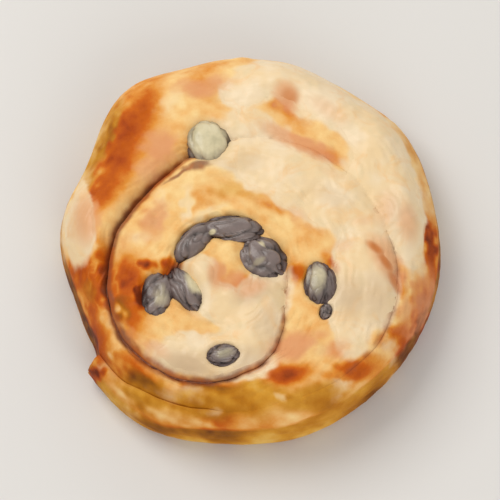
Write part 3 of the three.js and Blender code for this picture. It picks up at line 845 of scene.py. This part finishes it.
# %% The whole dough
def dough_piece():
    """Points and quads of the strip's skin, the disc at the heart, whose rings shrink from the
    strip's edge to the middle above and on the base, and the fan over the loose end."""
    faces = grid_faces(stations + 1, section, wrap=True)
    row = np.arange(len(faces)) // section
    column = np.arange(len(faces)) % section
    inner_face = column >= TOP_POINTS + WALL_POINTS + BASE_POINTS - 1
    faces = faces[~((row >= seam_stations) & inner_face)]

    ring = strip_turns[seam_stations:-1]
    _, outer = lip_edges(ring)
    core = core_radius(ring)
    rings = []
    for share in np.linspace(0, 1, HEART_RINGS + 1):
        radius = core * share
        z, x, y = smooth_top(ring, radius, core, outer)
        z = z + top_relief(x, y)
        rings.append(np.stack([x, y, z], axis=-1))
    for share in (1, 0.5, 0):
        x, y = from_heart(ring, core * share)
        rings.append(np.stack([x, y, np.zeros_like(x)], axis=-1))
    rings = np.array(rings)
    rings[0, :, 2] = rings[0, :, 2].mean()
    rings[HEART_RINGS] = strip[seam_stations:-1, 0]
    heart_faces = grid_faces(len(rings), len(ring), wrap=True)
    wall_row = np.arange(len(heart_faces)) // len(ring)
    heart_faces = heart_faces[wall_row != HEART_RINGS][:, ::-1]

    loose = strip[0]
    middle = loose.mean(axis=0)
    count = len(strip.reshape(-1, 3))
    disc = len(rings.reshape(-1, 3))
    around = np.arange(section)
    hub = np.full(section, count + disc)
    fan = np.stack([hub, (around + 1) % section, around, around], axis=-1)

    points = np.concatenate([strip.reshape(-1, 3), rings.reshape(-1, 3), middle[None]])
    every = np.concatenate([faces, heart_faces + count, fan])
    return points, every


dough_points, dough_faces = dough_piece()
print("the dough has", len(dough_points), "points before its doubles are merged")


# %% [markdown]
# ## How brown, how glazed
#
# Values on every point steer the dough's colour. *Bake and shade* is how brown it is: the
# shoulder faces the oven's heat, the foot stays pale, the lips are browner the deeper the top falls
# into the seam's groove, which is painted shade, and some patches were hotter, one of them a
# painted shadow in the gap beside a raisin. *Glaze* is the thin film of icing that has run over
# most of the top, greyer where it is *dull*. *Golden* and *rosy* lead the brown to another hue, and
# *stain and shadow* is the filling's colour on the lips, with a painted shadow below the top
# raisin.

# %% Where icing lies
RAISIN_KEEP_CLEAR, RAISIN_SHARE = 2.0, 0.93
SEAM_KEEP_CLEAR, SEAM_RIM = 0.8, 1.2
WALL_KEEP_CLEAR, WALL_RIM = 0.7, 1.8
RAGGED, FRAYED = 0.22, 0.12
BRIDGED, WALL_ENDING, NO_WALL = 3, 5, 100


def icing_level(x, y, turn, from_inner, from_outer, pools):
    """How far inside a sheet of icing a place lies: above 0 inside its rim. The pools' rim is
    made uneven, and it stops short of the raisins, of the free wall and of the seam where open;
    away from each of these the level may grow by so much for each millimetre."""
    level = pool_level(x, y, pools)
    level = level + RAGGED * waves((x, y), 9, seed=31) + FRAYED * waves((x, y), 3.5, seed=32)
    for raisin in RAISINS.values():
        reach = raisin_reach(x, y, raisin)
        level = np.minimum(level, RAISIN_KEEP_CLEAR * (reach - RAISIN_SHARE))
    inner_open = np.where(turn < SEAM_END, seam_openness(turn), 0)
    outer_open = np.where(turn > 1, seam_openness(turn - 1), 0)
    for distance, opened in ((from_inner, inner_open), (from_outer, outer_open)):
        bridged = BRIDGED * (1 - ramp(0.1, 0.5, opened))
        level = np.minimum(level, SEAM_KEEP_CLEAR * (distance - SEAM_RIM) + bridged)
    from_wall = from_outer + WALL_ENDING * ramp(0.94, 1, turn) + NO_WALL * (turn > 1)
    return np.minimum(level, WALL_KEEP_CLEAR * (from_wall - WALL_RIM))


def worn(x, y):
    """1 where the brown crust stands out of the icing, and in the painted shadow beside
    raisin_left.
    """
    return ramp(0.4, 0.8, patches(x, y, BROWNED_AND_SHADED))


on_raisins = icing_level(raisin_x, raisin_y, *locate(raisin_x, raisin_y), ALL_POOLS)
print("icing level in the middle of each raisin:", on_raisins.round(1))


# %% Painting values on the dough
STAIN_REACH, DRIFT = 1.25, 0.9
PLAIN_BAKE, BROWNED_BAKE, PALE_BAKE, SHOULDER_BAKE, GOLDEN_BAKE = 0.16, 0.8, 0.3, 0.08, 0.27


def seam_stain(turn, from_inner, from_outer):
    """How far the filling has coloured the seam's two lips: by the turn, times a bell of the
    distance from the seam."""
    inner = along_seam(SEAM_STAIN, turn) * (turn < SEAM_END)
    outer = along_seam(SEAM_STAIN, turn - 1) * (turn > 1)
    return np.maximum(inner * np.exp(-(from_inner / STAIN_REACH) ** 2),
                      outer * np.exp(-(from_outer / STAIN_REACH) ** 2))


def dough_values(points):
    """Baking with painted shade in it, glaze, golden, rosy, dull, and the filling's colour on the
    seam with a painted shadow, at each point, from where it lies on the strip and in the plan."""
    x, y, z = points.T
    strip_place = locate(x, y)
    seam, wall = top_falls(*strip_place)
    on_top = ramp(-2.5, -0.4, z - top_height(*strip_place, x, y)) * ramp(7, 13, z)
    slope = ramp(1.0, 6.0, wall)
    blotch, fine = waves((x, y, z), 9, seed=12), waves((x, y, z), 3.2, seed=13)
    drift = x + DRIFT * fine, y + DRIFT * blotch
    browned_and_shaded, pale, golden, rosy, dull, shadow_below_top_raisin = (
        patches(*drift, rows) for rows in (BROWNED_AND_SHADED, PALE, GOLDEN, ROSY, DULL, SHADOW_BELOW_TOP_RAISIN))

    golden = np.maximum(golden, 0.9 * (1 - on_top)) * (1 - ramp(0.45, 0.85, browned_and_shaded))
    # Painted shade: the lips are browner the deeper the top falls into the seam's groove.
    lips = ramp(1.2, 3.2, seam) * (0.16 + 0.16 * waves((x, y), 14, seed=11))
    side = 0.04 + 0.24 * ramp(0.5, 7, z) + 0.2 * waves((x, y, z), 16, seed=14)
    bake = PLAIN_BAKE + BROWNED_BAKE * browned_and_shaded - PALE_BAKE * pale + lips + side * (1 - on_top)
    bake = bake + SHOULDER_BAKE * slope * on_top + 0.09 * blotch + 0.06 * fine
    bake = bake + GOLDEN_BAKE * golden * on_top * ramp(10, -10, y)

    rosy = rosy * ramp(4, 9, z)
    near_icing = ramp(-2.0, 0.2, pool_level(*drift, ALL_POOLS))
    levels = [icing_level(x, y, *strip_place, pools) for pools in ICING_SHEETS.values()]
    under_icing = ramp(-1.2, -0.05, np.max(levels, axis=0)) * (1 - worn(x, y))
    thin = (0.08 + 0.3 * near_icing) * (1 - ramp(0.1, 0.75, browned_and_shaded)) * (1 - 0.8 * rosy)
    thin = thin * (1 - 0.5 * slope) * (1 - 0.85 * golden)
    glaze = on_top * np.maximum(thin, under_icing) + 0.72 * pale * ramp(0, 3, z)

    # The filling's stain on the seam's lips, together with the painted shadow below the top raisin.
    stain = np.maximum(seam_stain(*strip_place) * (0.9 + 0.2 * fine), shadow_below_top_raisin)
    values = {"bake": bake, "glaze": glaze, "golden": golden, "rosy": rosy, "stain": stain,
              "dull": dull}
    return {name: np.clip(value, 0, 1) for name, value in values.items()}


dough = make_piece("dough_roll", dough_points, dough_faces, dough_values(dough_points))


# %% [markdown]
# The crust runs from a pale straw through orange to a dark chestnut, and through gold where the
# oven's heat came from the side. The film of icing lightens it to cream and makes it shine.

# %% Crust
WARM_CREAM, COOL_CREAM, GREENISH_CREAM = (231, 203, 158), (233, 211, 176), (220, 201, 162)
CREAM_STREAK, CREAM_DULL, CREAM_ROSY = (232, 188, 132), (202, 174, 138), (217, 160, 114)


def cream(finish):
    """The icing's colour: warm cream in soft clouds, duller or rosier in places. The film on the
    crust and the poured sheets share it, so that a sheet's rim does not stand out."""
    cloud = finish.noise(90, detail=3)
    drift = finish.noise(240, detail=3)
    streaks = finish.noise(150, detail=5, roughness=0.6, distortion=1.2)
    colour = finish.mix(cloud.between(0.38, 0.62), WARM_CREAM, COOL_CREAM)
    colour = finish.mix(0.4 * drift.between(0.5, 0.7), colour, GREENISH_CREAM)
    colour = finish.mix(0.55 * streaks.between(0.5, 0.7), colour, CREAM_STREAK)
    colour = finish.mix(finish.value("dull"), colour, CREAM_DULL)
    return finish.mix(0.9 * finish.value("rosy").between(0.15, 1.0), colour, CREAM_ROSY)


CRUST_ROSY, FILLING_STAIN, RAISIN_STAIN = (214, 146, 100), (152, 76, 36), (126, 80, 60)


def crust_finish():
    """Brown by how baked it is, with painted shade in it, in orange or in gold, under the film of
    icing, with the filling's colour and a painted shadow over all; the film also makes the crust
    smoother."""
    finish = Finish("baked crust")
    bake = finish.value("bake")
    cloudy = finish.noise(160, detail=4)
    speckle = finish.noise(1100, detail=3, roughness=0.7)
    shade = bake + 0.36 * (cloudy - 0.5) + 0.14 * (speckle - 0.5)
    orange = finish.gradient(shade, {
        0.0: (240, 206, 142), 0.2: (231, 181, 112), 0.42: (216, 140, 52),
        0.62: (194, 94, 6), 0.82: (166, 68, 2), 1.0: (108, 38, 4),
    })
    gold = finish.gradient(shade, {
        0.0: (222, 178, 90), 0.25: (204, 144, 44), 0.5: (178, 112, 14),
        0.75: (142, 84, 6), 1.0: (96, 46, 6),
    })
    colour = finish.mix(finish.value("golden").between(0.25, 0.85), orange, gold)
    rosy = finish.value("rosy") + 0.6 * (finish.noise(200, detail=3) - 0.5)
    colour = finish.mix(0.85 * rosy.between(0.25, 0.9), colour, CRUST_ROSY)
    film = finish.value("glaze") + 0.6 * (finish.noise(230, detail=4) - 0.5)
    film = film.between(0.08, 0.86)
    colour = finish.mix(0.96 * film, colour, cream(finish))
    # The filling's stain, and the painted shadow below the top raisin, in the filling's and the
    # raisins' browns.
    stain = finish.value("stain") + 0.5 * (finish.noise(500, detail=3) - 0.5)
    stain_and_shadow_colour = finish.mix(cloudy.between(0.42, 0.6), FILLING_STAIN, RAISIN_STAIN)
    colour = finish.mix(0.85 * stain.between(0.05, 0.9), colour, stain_and_shadow_colour)
    pits = finish.noise(1600, detail=4, roughness=0.65)
    grain = finish.noise(420, detail=5, roughness=0.6)
    normal = finish.bump(0.6 * grain + 0.4 * pits, distance=0.0004, strength=0.5)
    return finish.surface({
        "Base Color": colour, "Roughness": 0.62 - 0.24 * film, "Coat Weight": 0.18 * film,
        "Coat Roughness": 0.25, "Specular IOR Level": 0.15, "Normal": normal,
    })


def dress(piece, material, slot, *nodes):
    """Gives a piece its material and its body, and hides the solids of the nodes that it stands
    for. The slot is not used.
    """
    piece.data.materials.append(material)
    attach(piece, "root")
    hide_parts(*nodes)


dress(dough, crust_finish(), "crust", "dough")


# %% [markdown]
# ## The filling
#
# What was spread on the dough before it was rolled shows only as a dark, slightly ragged line
# in the seam. It is a ribbon that stands in the seam with its top edge just under the lips.

# %% Filling ribbon
FILLING_HALF_HIDDEN, FILLING_HALF_OPEN = 0.3, 0.3
FILLING_START, FILLING_END = 0.03, SEAM_END - 0.03
FILLING_TAPER = 0.02
FILLING_FLOOR = 0.6
FILLING_RUN = 150


def filling_piece():
    """A section of twelve points, an upright oval with flattened sides, carried along the seam;
    the ends are drawn to a point. FILLING_RUN is about how many millimetres a turn measures."""
    turn = np.linspace(FILLING_START, FILLING_END, 700)[:, None]
    around = np.linspace(0, 2 * math.pi, 13)[None, :-1]
    along = FILLING_RUN * turn
    ends = ramp(0, FILLING_TAPER, turn - FILLING_START) * ramp(0, FILLING_TAPER, FILLING_END - turn)
    ragged = 1 + 0.22 * waves((along, 3 * np.cos(around)), 9, seed=21)
    half = FILLING_HALF_HIDDEN + FILLING_HALF_OPEN * seam_openness(turn)
    half = half * ragged * (0.05 + 0.95 * ends)
    top = np.minimum(*seam_edges(turn)) + 0.2 * waves((along, 0 * turn), 7, seed=22)
    middle, reach = (top + FILLING_FLOOR) / 2, (top - FILLING_FLOOR) / 2
    lift = np.sign(np.sin(around)) * np.abs(np.sin(around)) ** 0.35
    x, y = from_heart(turn, seam_radius(turn) + half * np.cos(around))
    points = np.stack([x, y, middle + reach * lift], axis=-1)
    rows, columns = points.shape[:2]
    first, last = (np.broadcast_to(points[k].mean(axis=0), (1, columns, 3)) for k in (0, -1))
    points = np.concatenate([first, points, last])
    faces = grid_faces(rows + 2, columns, wrap=True)[:, ::-1]
    return points.reshape(-1, 3), faces


def filling_finish():
    finish = Finish("dark filling")
    mottle = finish.noise(700, detail=4)
    colour = finish.gradient(mottle, {0.3: (92, 44, 24), 0.5: (130, 70, 40), 0.72: (164, 98, 62)})
    normal = finish.bump(finish.noise(1300, detail=4), distance=0.0005, strength=0.7)
    return finish.surface({"Base Color": colour, "Roughness": 0.3 + 0.4 * mottle, "Normal": normal})


filling = make_piece("filling_ribbon", *filling_piece(), {})
dress(filling, filling_finish(), "filling", "filling")


# %% [markdown]
# ## The raisins
#
# A raisin is a grape that shrank inside its skin, so the skin stands in folds that run mostly
# from end to end and branch. Here each is a ball with its poles at its two ends, and the folds
# are ridges in the angle round it, bent by slow waves.

# %% Raisin shapes
RAISIN_ROUND, RAISIN_ALONG = 96, 64
FOLDS_ROUND, FOLD_DEPTH, CREASE_DEPTH = 5, 0.16, 0.10


def raisin_place(raisin, ball):
    """Where the points of a unit ball come to lie: stretched to the raisin's size, turned to its
    bearing and set so that its top stands proud of the dough."""
    along, across, up = [part * whole / 2 for part, whole in zip(ball, raisin["size"])]
    turned = math.radians(raisin["bearing"])
    x0, y0 = raisin["at"]
    turn, _, _ = locate(np.array([x0]), np.array([y0]))
    top = crest_height(turn)[0] + lump(x0, y0) + raisin["proud"]
    x = x0 + along * math.cos(turned) - across * math.sin(turned)
    y = y0 + along * math.sin(turned) + across * math.cos(turned)
    return x, y, top - raisin["size"][2] / 2 + up


def raisin_piece(name, raisin, seed):
    """Radius 1 less the folds: a sharp-creased ridge function of the angle round the raisin
    and the place along it, with finer creases at half the depth; then stretched and turned."""
    rng = np.random.default_rng(seed)
    round_angle = np.linspace(0, 2 * math.pi, RAISIN_ROUND, endpoint=False)[None, :]
    from_end = np.linspace(0, math.pi, RAISIN_ALONG)[:, None]
    ball = [np.cos(from_end) + 0 * round_angle, np.sin(from_end) * np.cos(round_angle),
            np.sin(from_end) * np.sin(round_angle)]
    slow = waves(ball, 1.6, seed=seed + 1)
    folds = np.abs(np.sin(FOLDS_ROUND / 2 * round_angle + 1.7 * slow + rng.uniform(0, 6)))
    creases = np.abs(waves([2.0 * ball[0], 5 * ball[1], 5 * ball[2]], 2.6, seed=seed + 2))
    sunk = FOLD_DEPTH * (1 - folds) ** 2 * np.sin(from_end)
    sunk = sunk + CREASE_DEPTH * (1 - np.minimum(1, 2.2 * creases)) ** 2
    x, y, _ = raisin_place(raisin, ball)
    # Icing caps, and on the arc raisins small painted highlights.
    cap = patches(x, y, RAISIN_CAPS_AND_GLINTS) * ramp(0.05, 0.5, ball[2])
    rim = ramp(0.55, 0.95, np.sqrt(1 - np.clip(ball[2], 0, 1) ** 2))
    sunk = sunk * (1 - 0.75 * cap)
    radius = 1.03 + 0.05 * slow - sunk
    points = np.stack(raisin_place(raisin, [radius * part for part in ball]), axis=-1)
    values = {"hollow": np.clip(sunk / 0.2, 0, 1), "rim": rim + 0 * radius,
              "cap": cap, "bare": patches(x, y, RAISIN_BARE_AND_SHADED)}
    values = {key: value.reshape(-1) for key, value in values.items()}
    faces = grid_faces(RAISIN_ALONG, RAISIN_ROUND, wrap=True)[:, ::-1]
    return make_piece(name, points.reshape(-1, 3), faces, values)


# %% [markdown]
# Icing ran over the raisins too. It left a thin film that turns their dark skin greyish, and
# caps of thick icing on some of them, which fill the folds; the small pale caps on the arc raisins
# are painted highlights. The skin is darkened down in the folds as painted shade, and bare skin is
# darkened as painted shadow on raisin_left's rim. Cap and glint, and bare skin with shadow, are two
# more values on the points, so one finish makes every raisin.

# %% Raisin finish
FOLD_SHADE, SKIN_FILMED, SKIN_BARE_AND_SHADED = (28, 14, 12), (160, 146, 140), (36, 18, 14)
CAP_AND_GLINT_LIGHT, CAP_AND_GLINT_DARK = (212, 200, 162), (192, 182, 146)


def raisin_finish():
    finish = Finish("raisin skin")
    hollow, rim, cap, bare = (finish.value(name) for name in ("hollow", "rim", "cap", "bare"))
    cloud = finish.noise(330, detail=3)
    skin = finish.gradient(cloud, {0.25: (34, 20, 18), 0.5: (68, 48, 45), 0.75: (98, 78, 74)})
    # Painted shade: the skin darkens down in the folds, and the film thins there.
    skin = finish.mix(hollow.between(0.15, 0.8), skin, FOLD_SHADE)
    film = (1 - 0.65 * rim + 0.7 * (cloud - 0.5) - 0.6 * hollow).between(0.0, 1.0) * (1 - bare)
    skin = finish.mix(0.42 * film, skin, SKIN_FILMED)
    # Bare skin, darkened further as painted shadow on raisin_left's left rim.
    skin = finish.mix(0.8 * bare, skin, SKIN_BARE_AND_SHADED)
    # Icing caps, and small painted highlights on the arc raisins, in pale cream.
    iced_and_glint = (cap + 0.35 * (finish.noise(420, detail=3) - 0.5) - 0.25 * hollow).between(0.25, 0.95)
    icing_cloud = finish.noise(260, detail=2).between(0.4, 0.62)
    colour = finish.mix(0.95 * iced_and_glint, skin, finish.mix(icing_cloud, CAP_AND_GLINT_LIGHT, CAP_AND_GLINT_DARK))
    normal = finish.bump(finish.noise(1500, detail=3), distance=0.0004, strength=0.3)
    return finish.surface({
        "Base Color": colour, "Roughness": 0.45 - 0.1 * film, "Coat Weight": 0.3 * film + 0.1,
        "Coat Roughness": 0.2, "Specular IOR Level": 0.35, "Normal": normal,
    })


raisin_material = raisin_finish()
for number, (name, raisin) in enumerate(RAISINS.items()):
    piece = raisin_piece(name.replace("raisin", "wrinkled_raisin"), raisin, seed=40 + 7 * number)
    dress(piece, raisin_material, "raisin", name)


# %% [markdown]
# ## The icing
#
# Sugar icing is poured warm: it fills the seams, thins out over the crests and sets with round,
# soft rims. Each sheet is a fine grid over the plan whose top is the smooth dough plus the
# icing's thickness. Outside its pools the thickness goes below zero, so the sheet dips into the
# dough and its rim is where the two surfaces cross, which no cut edge could make as soft.

# %% How thick the icing is
ICING_RIM_STEEPNESS, ICING_DIP_STEEPNESS, ICING_RIM_LIFT = 0.6, 1.0, 0.1
ICING_FOLLOWS_RELIEF, ICING_WAVE = 0.7, 0.1


def icing_heights(x, y, pools):
    """Thickness over the smooth dough, the height of the icing's top, and how far that top
    stands over the dough with all its relief."""
    strip_place = locate(x, y)
    seam, _ = top_falls(*strip_place)
    level = icing_level(x, y, *strip_place, pools)
    share = np.clip(level * ICING_RIM_STEEPNESS, 0, 1)
    dip = np.minimum(level * ICING_DIP_STEEPNESS, 0)
    thick = ICING_THICKNESS * (0.5 * ramp(0, 1, share) + 0.5 * share + dip)
    fill = ICING_SEAM_FILL * seam * share
    relief = top_relief(x, y)
    smooth = top_height(*strip_place, x, y)
    wavy = ICING_WAVE * waves((x, y), 8, seed=33) * share
    top = smooth + ICING_FOLLOWS_RELIEF * relief + ICING_RIM_LIFT + thick + fill + wavy
    return thick, top, top - smooth - relief


for name, pools in ICING_SHEETS.items():
    thick, _, over = icing_heights(*np.array([pools[0][:2]]).T, pools)
    print(name, "is", thick[0].round(2), "thick,", over[0].round(2), "over the dough's relief")


# %% Icing sheets
ICING_GRID, POOL_MARGIN, ICING_FROM_OUTLINE = 0.4, 1.4, 1.2
ICING_SKIRT, ICING_UNDER = 0.6, 0.8


def icing_piece(name, pools):
    """Two grids, top and underside, over the plan box of the pools. Cells with a corner too far
    outside are dropped, and the open rim, which is inside the dough, is joined by a skirt."""
    low = [min(pool[k] - POOL_MARGIN * pool[2] for pool in pools) for k in (0, 1)]
    high = [max(pool[k] + POOL_MARGIN * pool[2] for pool in pools) for k in (0, 1)]
    xs = np.arange(low[0], high[0], ICING_GRID)
    ys = np.arange(low[1], high[1], ICING_GRID)
    y, x = np.meshgrid(ys, xs, indexing="ij")
    thick, top, over = icing_heights(x, y, pools)
    radius, turn = about_heart(x, y)
    on_bun = radius < outline_radius(turn) - ICING_FROM_OUTLINE
    keep = (thick > -ICING_SKIRT) & on_bun
    faces = grid_faces(len(ys), len(xs))
    faces = faces[keep.reshape(-1)[faces].all(axis=1)]
    sides = np.concatenate([faces[:, [k, (k + 1) % 4]] for k in range(4)])
    _, first, uses = np.unique(np.sort(sides, axis=1), axis=0, return_index=True,
                               return_counts=True)
    open_sides = sides[first[uses == 1]]
    total = x.size
    skirt = np.stack([open_sides[:, 1], open_sides[:, 0], open_sides[:, 0] + total,
                      open_sides[:, 1] + total], axis=-1)
    upper = np.stack([x, y, top], axis=-1).reshape(-1, 3)
    lower = np.stack([x, y, top - np.maximum(thick, 0) - ICING_UNDER], axis=-1).reshape(-1, 3)
    points = np.concatenate([upper, lower])
    every = np.concatenate([faces, faces[:, ::-1] + total, skirt])
    used = np.unique(every)
    number = np.zeros(len(points), dtype=np.int64)
    number[used] = np.arange(len(used))
    place = points[used, 0], points[used, 1]
    values = {"depth": np.tile(over.reshape(-1), 2)[used], "worn": worn(*place),
              "dull": patches(*place, DULL), "rosy": patches(*place, ROSY)}
    return make_piece(name, points[used], number[every], values)


# %% [markdown]
# The sheets have the same cream as the film on the crust. Where the browned crust stands out of
# the icing they take the crust's colour, paler the thicker they are.

# %% Icing finish
WORN_THIN, WORN_THICK = (190, 108, 44), (206, 140, 84)


def icing_finish():
    finish = Finish("set icing")
    crust = finish.mix(finish.value("depth").between(0.2, 0.9), WORN_THIN, WORN_THICK)
    colour = finish.mix(finish.value("worn"), cream(finish), crust)
    normal = finish.bump(finish.noise(500, detail=2), distance=0.0004, strength=0.2)
    return finish.surface({
        "Base Color": colour, "Roughness": 0.38,
        "Coat Weight": 0.18, "Coat Roughness": 0.25, "Specular IOR Level": 0.15, "Normal": normal,
    })


icing_material = icing_finish()
for name, pools in ICING_SHEETS.items():
    dress(icing_piece(name.replace("icing", "poured_icing"), pools), icing_material, "icing", name)


# %% [markdown]
# ## Floor, light and camera
#
# A plain pale floor, a big soft window of light from the upper left, weaker ones from the front
# and from behind, and a camera that looks down at the angle of the photograph: about 68 degrees
# above the table, straight from the front.

# %% Floor
FLOOR_SIDE = 3.0


def floor_piece():
    half = FLOOR_SIDE / 2
    corners = [(-half, -half, 0), (half, -half, 0), (half, half, 0), (-half, half, 0)]
    mesh = bpy.data.meshes.new("pale_floor")
    mesh.from_pydata(corners, [], [(0, 1, 2, 3)])
    floor = bpy.data.objects.new("pale_floor", mesh)
    bpy.context.scene.collection.objects.link(floor)
    finish = Finish("pale floor")
    soft = finish.noise(6, detail=2)
    colour = finish.mix(soft, (212, 210, 207), (218, 216, 213))
    mesh.materials.append(finish.surface({"Base Color": colour, "Roughness": 0.7}))


floor_piece()


# %% Lights
def point_at(thing, place, target):
    """Moves a lamp or the camera to a place and turns its -Z axis to the target."""
    thing.location = place
    thing.rotation_mode = "QUATERNION"
    thing.rotation_quaternion = (Vector(target) - Vector(place)).to_track_quat("-Z", "Y")


def soft_light(name, place, side, power, colour):
    data = bpy.data.lights.new(name, "AREA")
    data.shape = "SQUARE"
    data.size = side
    data.energy = power
    data.color = colour
    lamp = bpy.data.objects.new(name, data)
    bpy.context.scene.collection.objects.link(lamp)
    point_at(lamp, place, (0, 0, 0))
    print(name, "gives", power, "watts from", place)


scene = bpy.context.scene
scene.view_settings.view_transform = "Standard"
world = bpy.data.worlds.new("soft studio")
world.use_nodes = True
sky = world.node_tree.nodes["Background"].inputs
sky["Color"].default_value = (1.0, 0.985, 0.96, 1.0)
sky["Strength"].default_value = 0.5
scene.world = world
soft_light("window", (-0.45, 0.35, 0.75), 0.6, 5.0, (1.0, 0.98, 0.95))
soft_light("front fill", (0.3, -0.75, 0.4), 0.7, 3.4, (1.0, 0.99, 0.97))
soft_light("back fill", (0.15, 0.8, 0.35), 0.6, 1.5, (1.0, 0.98, 0.94))


# %% Camera
CAMERA_ELEVATION, CAMERA_DISTANCE = 68, 2.0
VIEW_WIDTH, AIM_HEIGHT = 0.124, 0.010
AIM = (SHIFT[0] * MM, SHIFT[1] * MM, AIM_HEIGHT)
camera_data = bpy.data.cameras.new("camera")
camera_data.lens = camera_data.sensor_width * CAMERA_DISTANCE / VIEW_WIDTH
camera = bpy.data.objects.new("camera", camera_data)
scene.collection.objects.link(camera)
elevation = math.radians(CAMERA_ELEVATION)
camera_place = (
    AIM[0],
    AIM[1] - CAMERA_DISTANCE * math.cos(elevation),
    AIM[2] + CAMERA_DISTANCE * math.sin(elevation),
)
point_at(camera, camera_place, AIM)
scene.camera = camera
print("camera at", np.round(camera_place, 3))
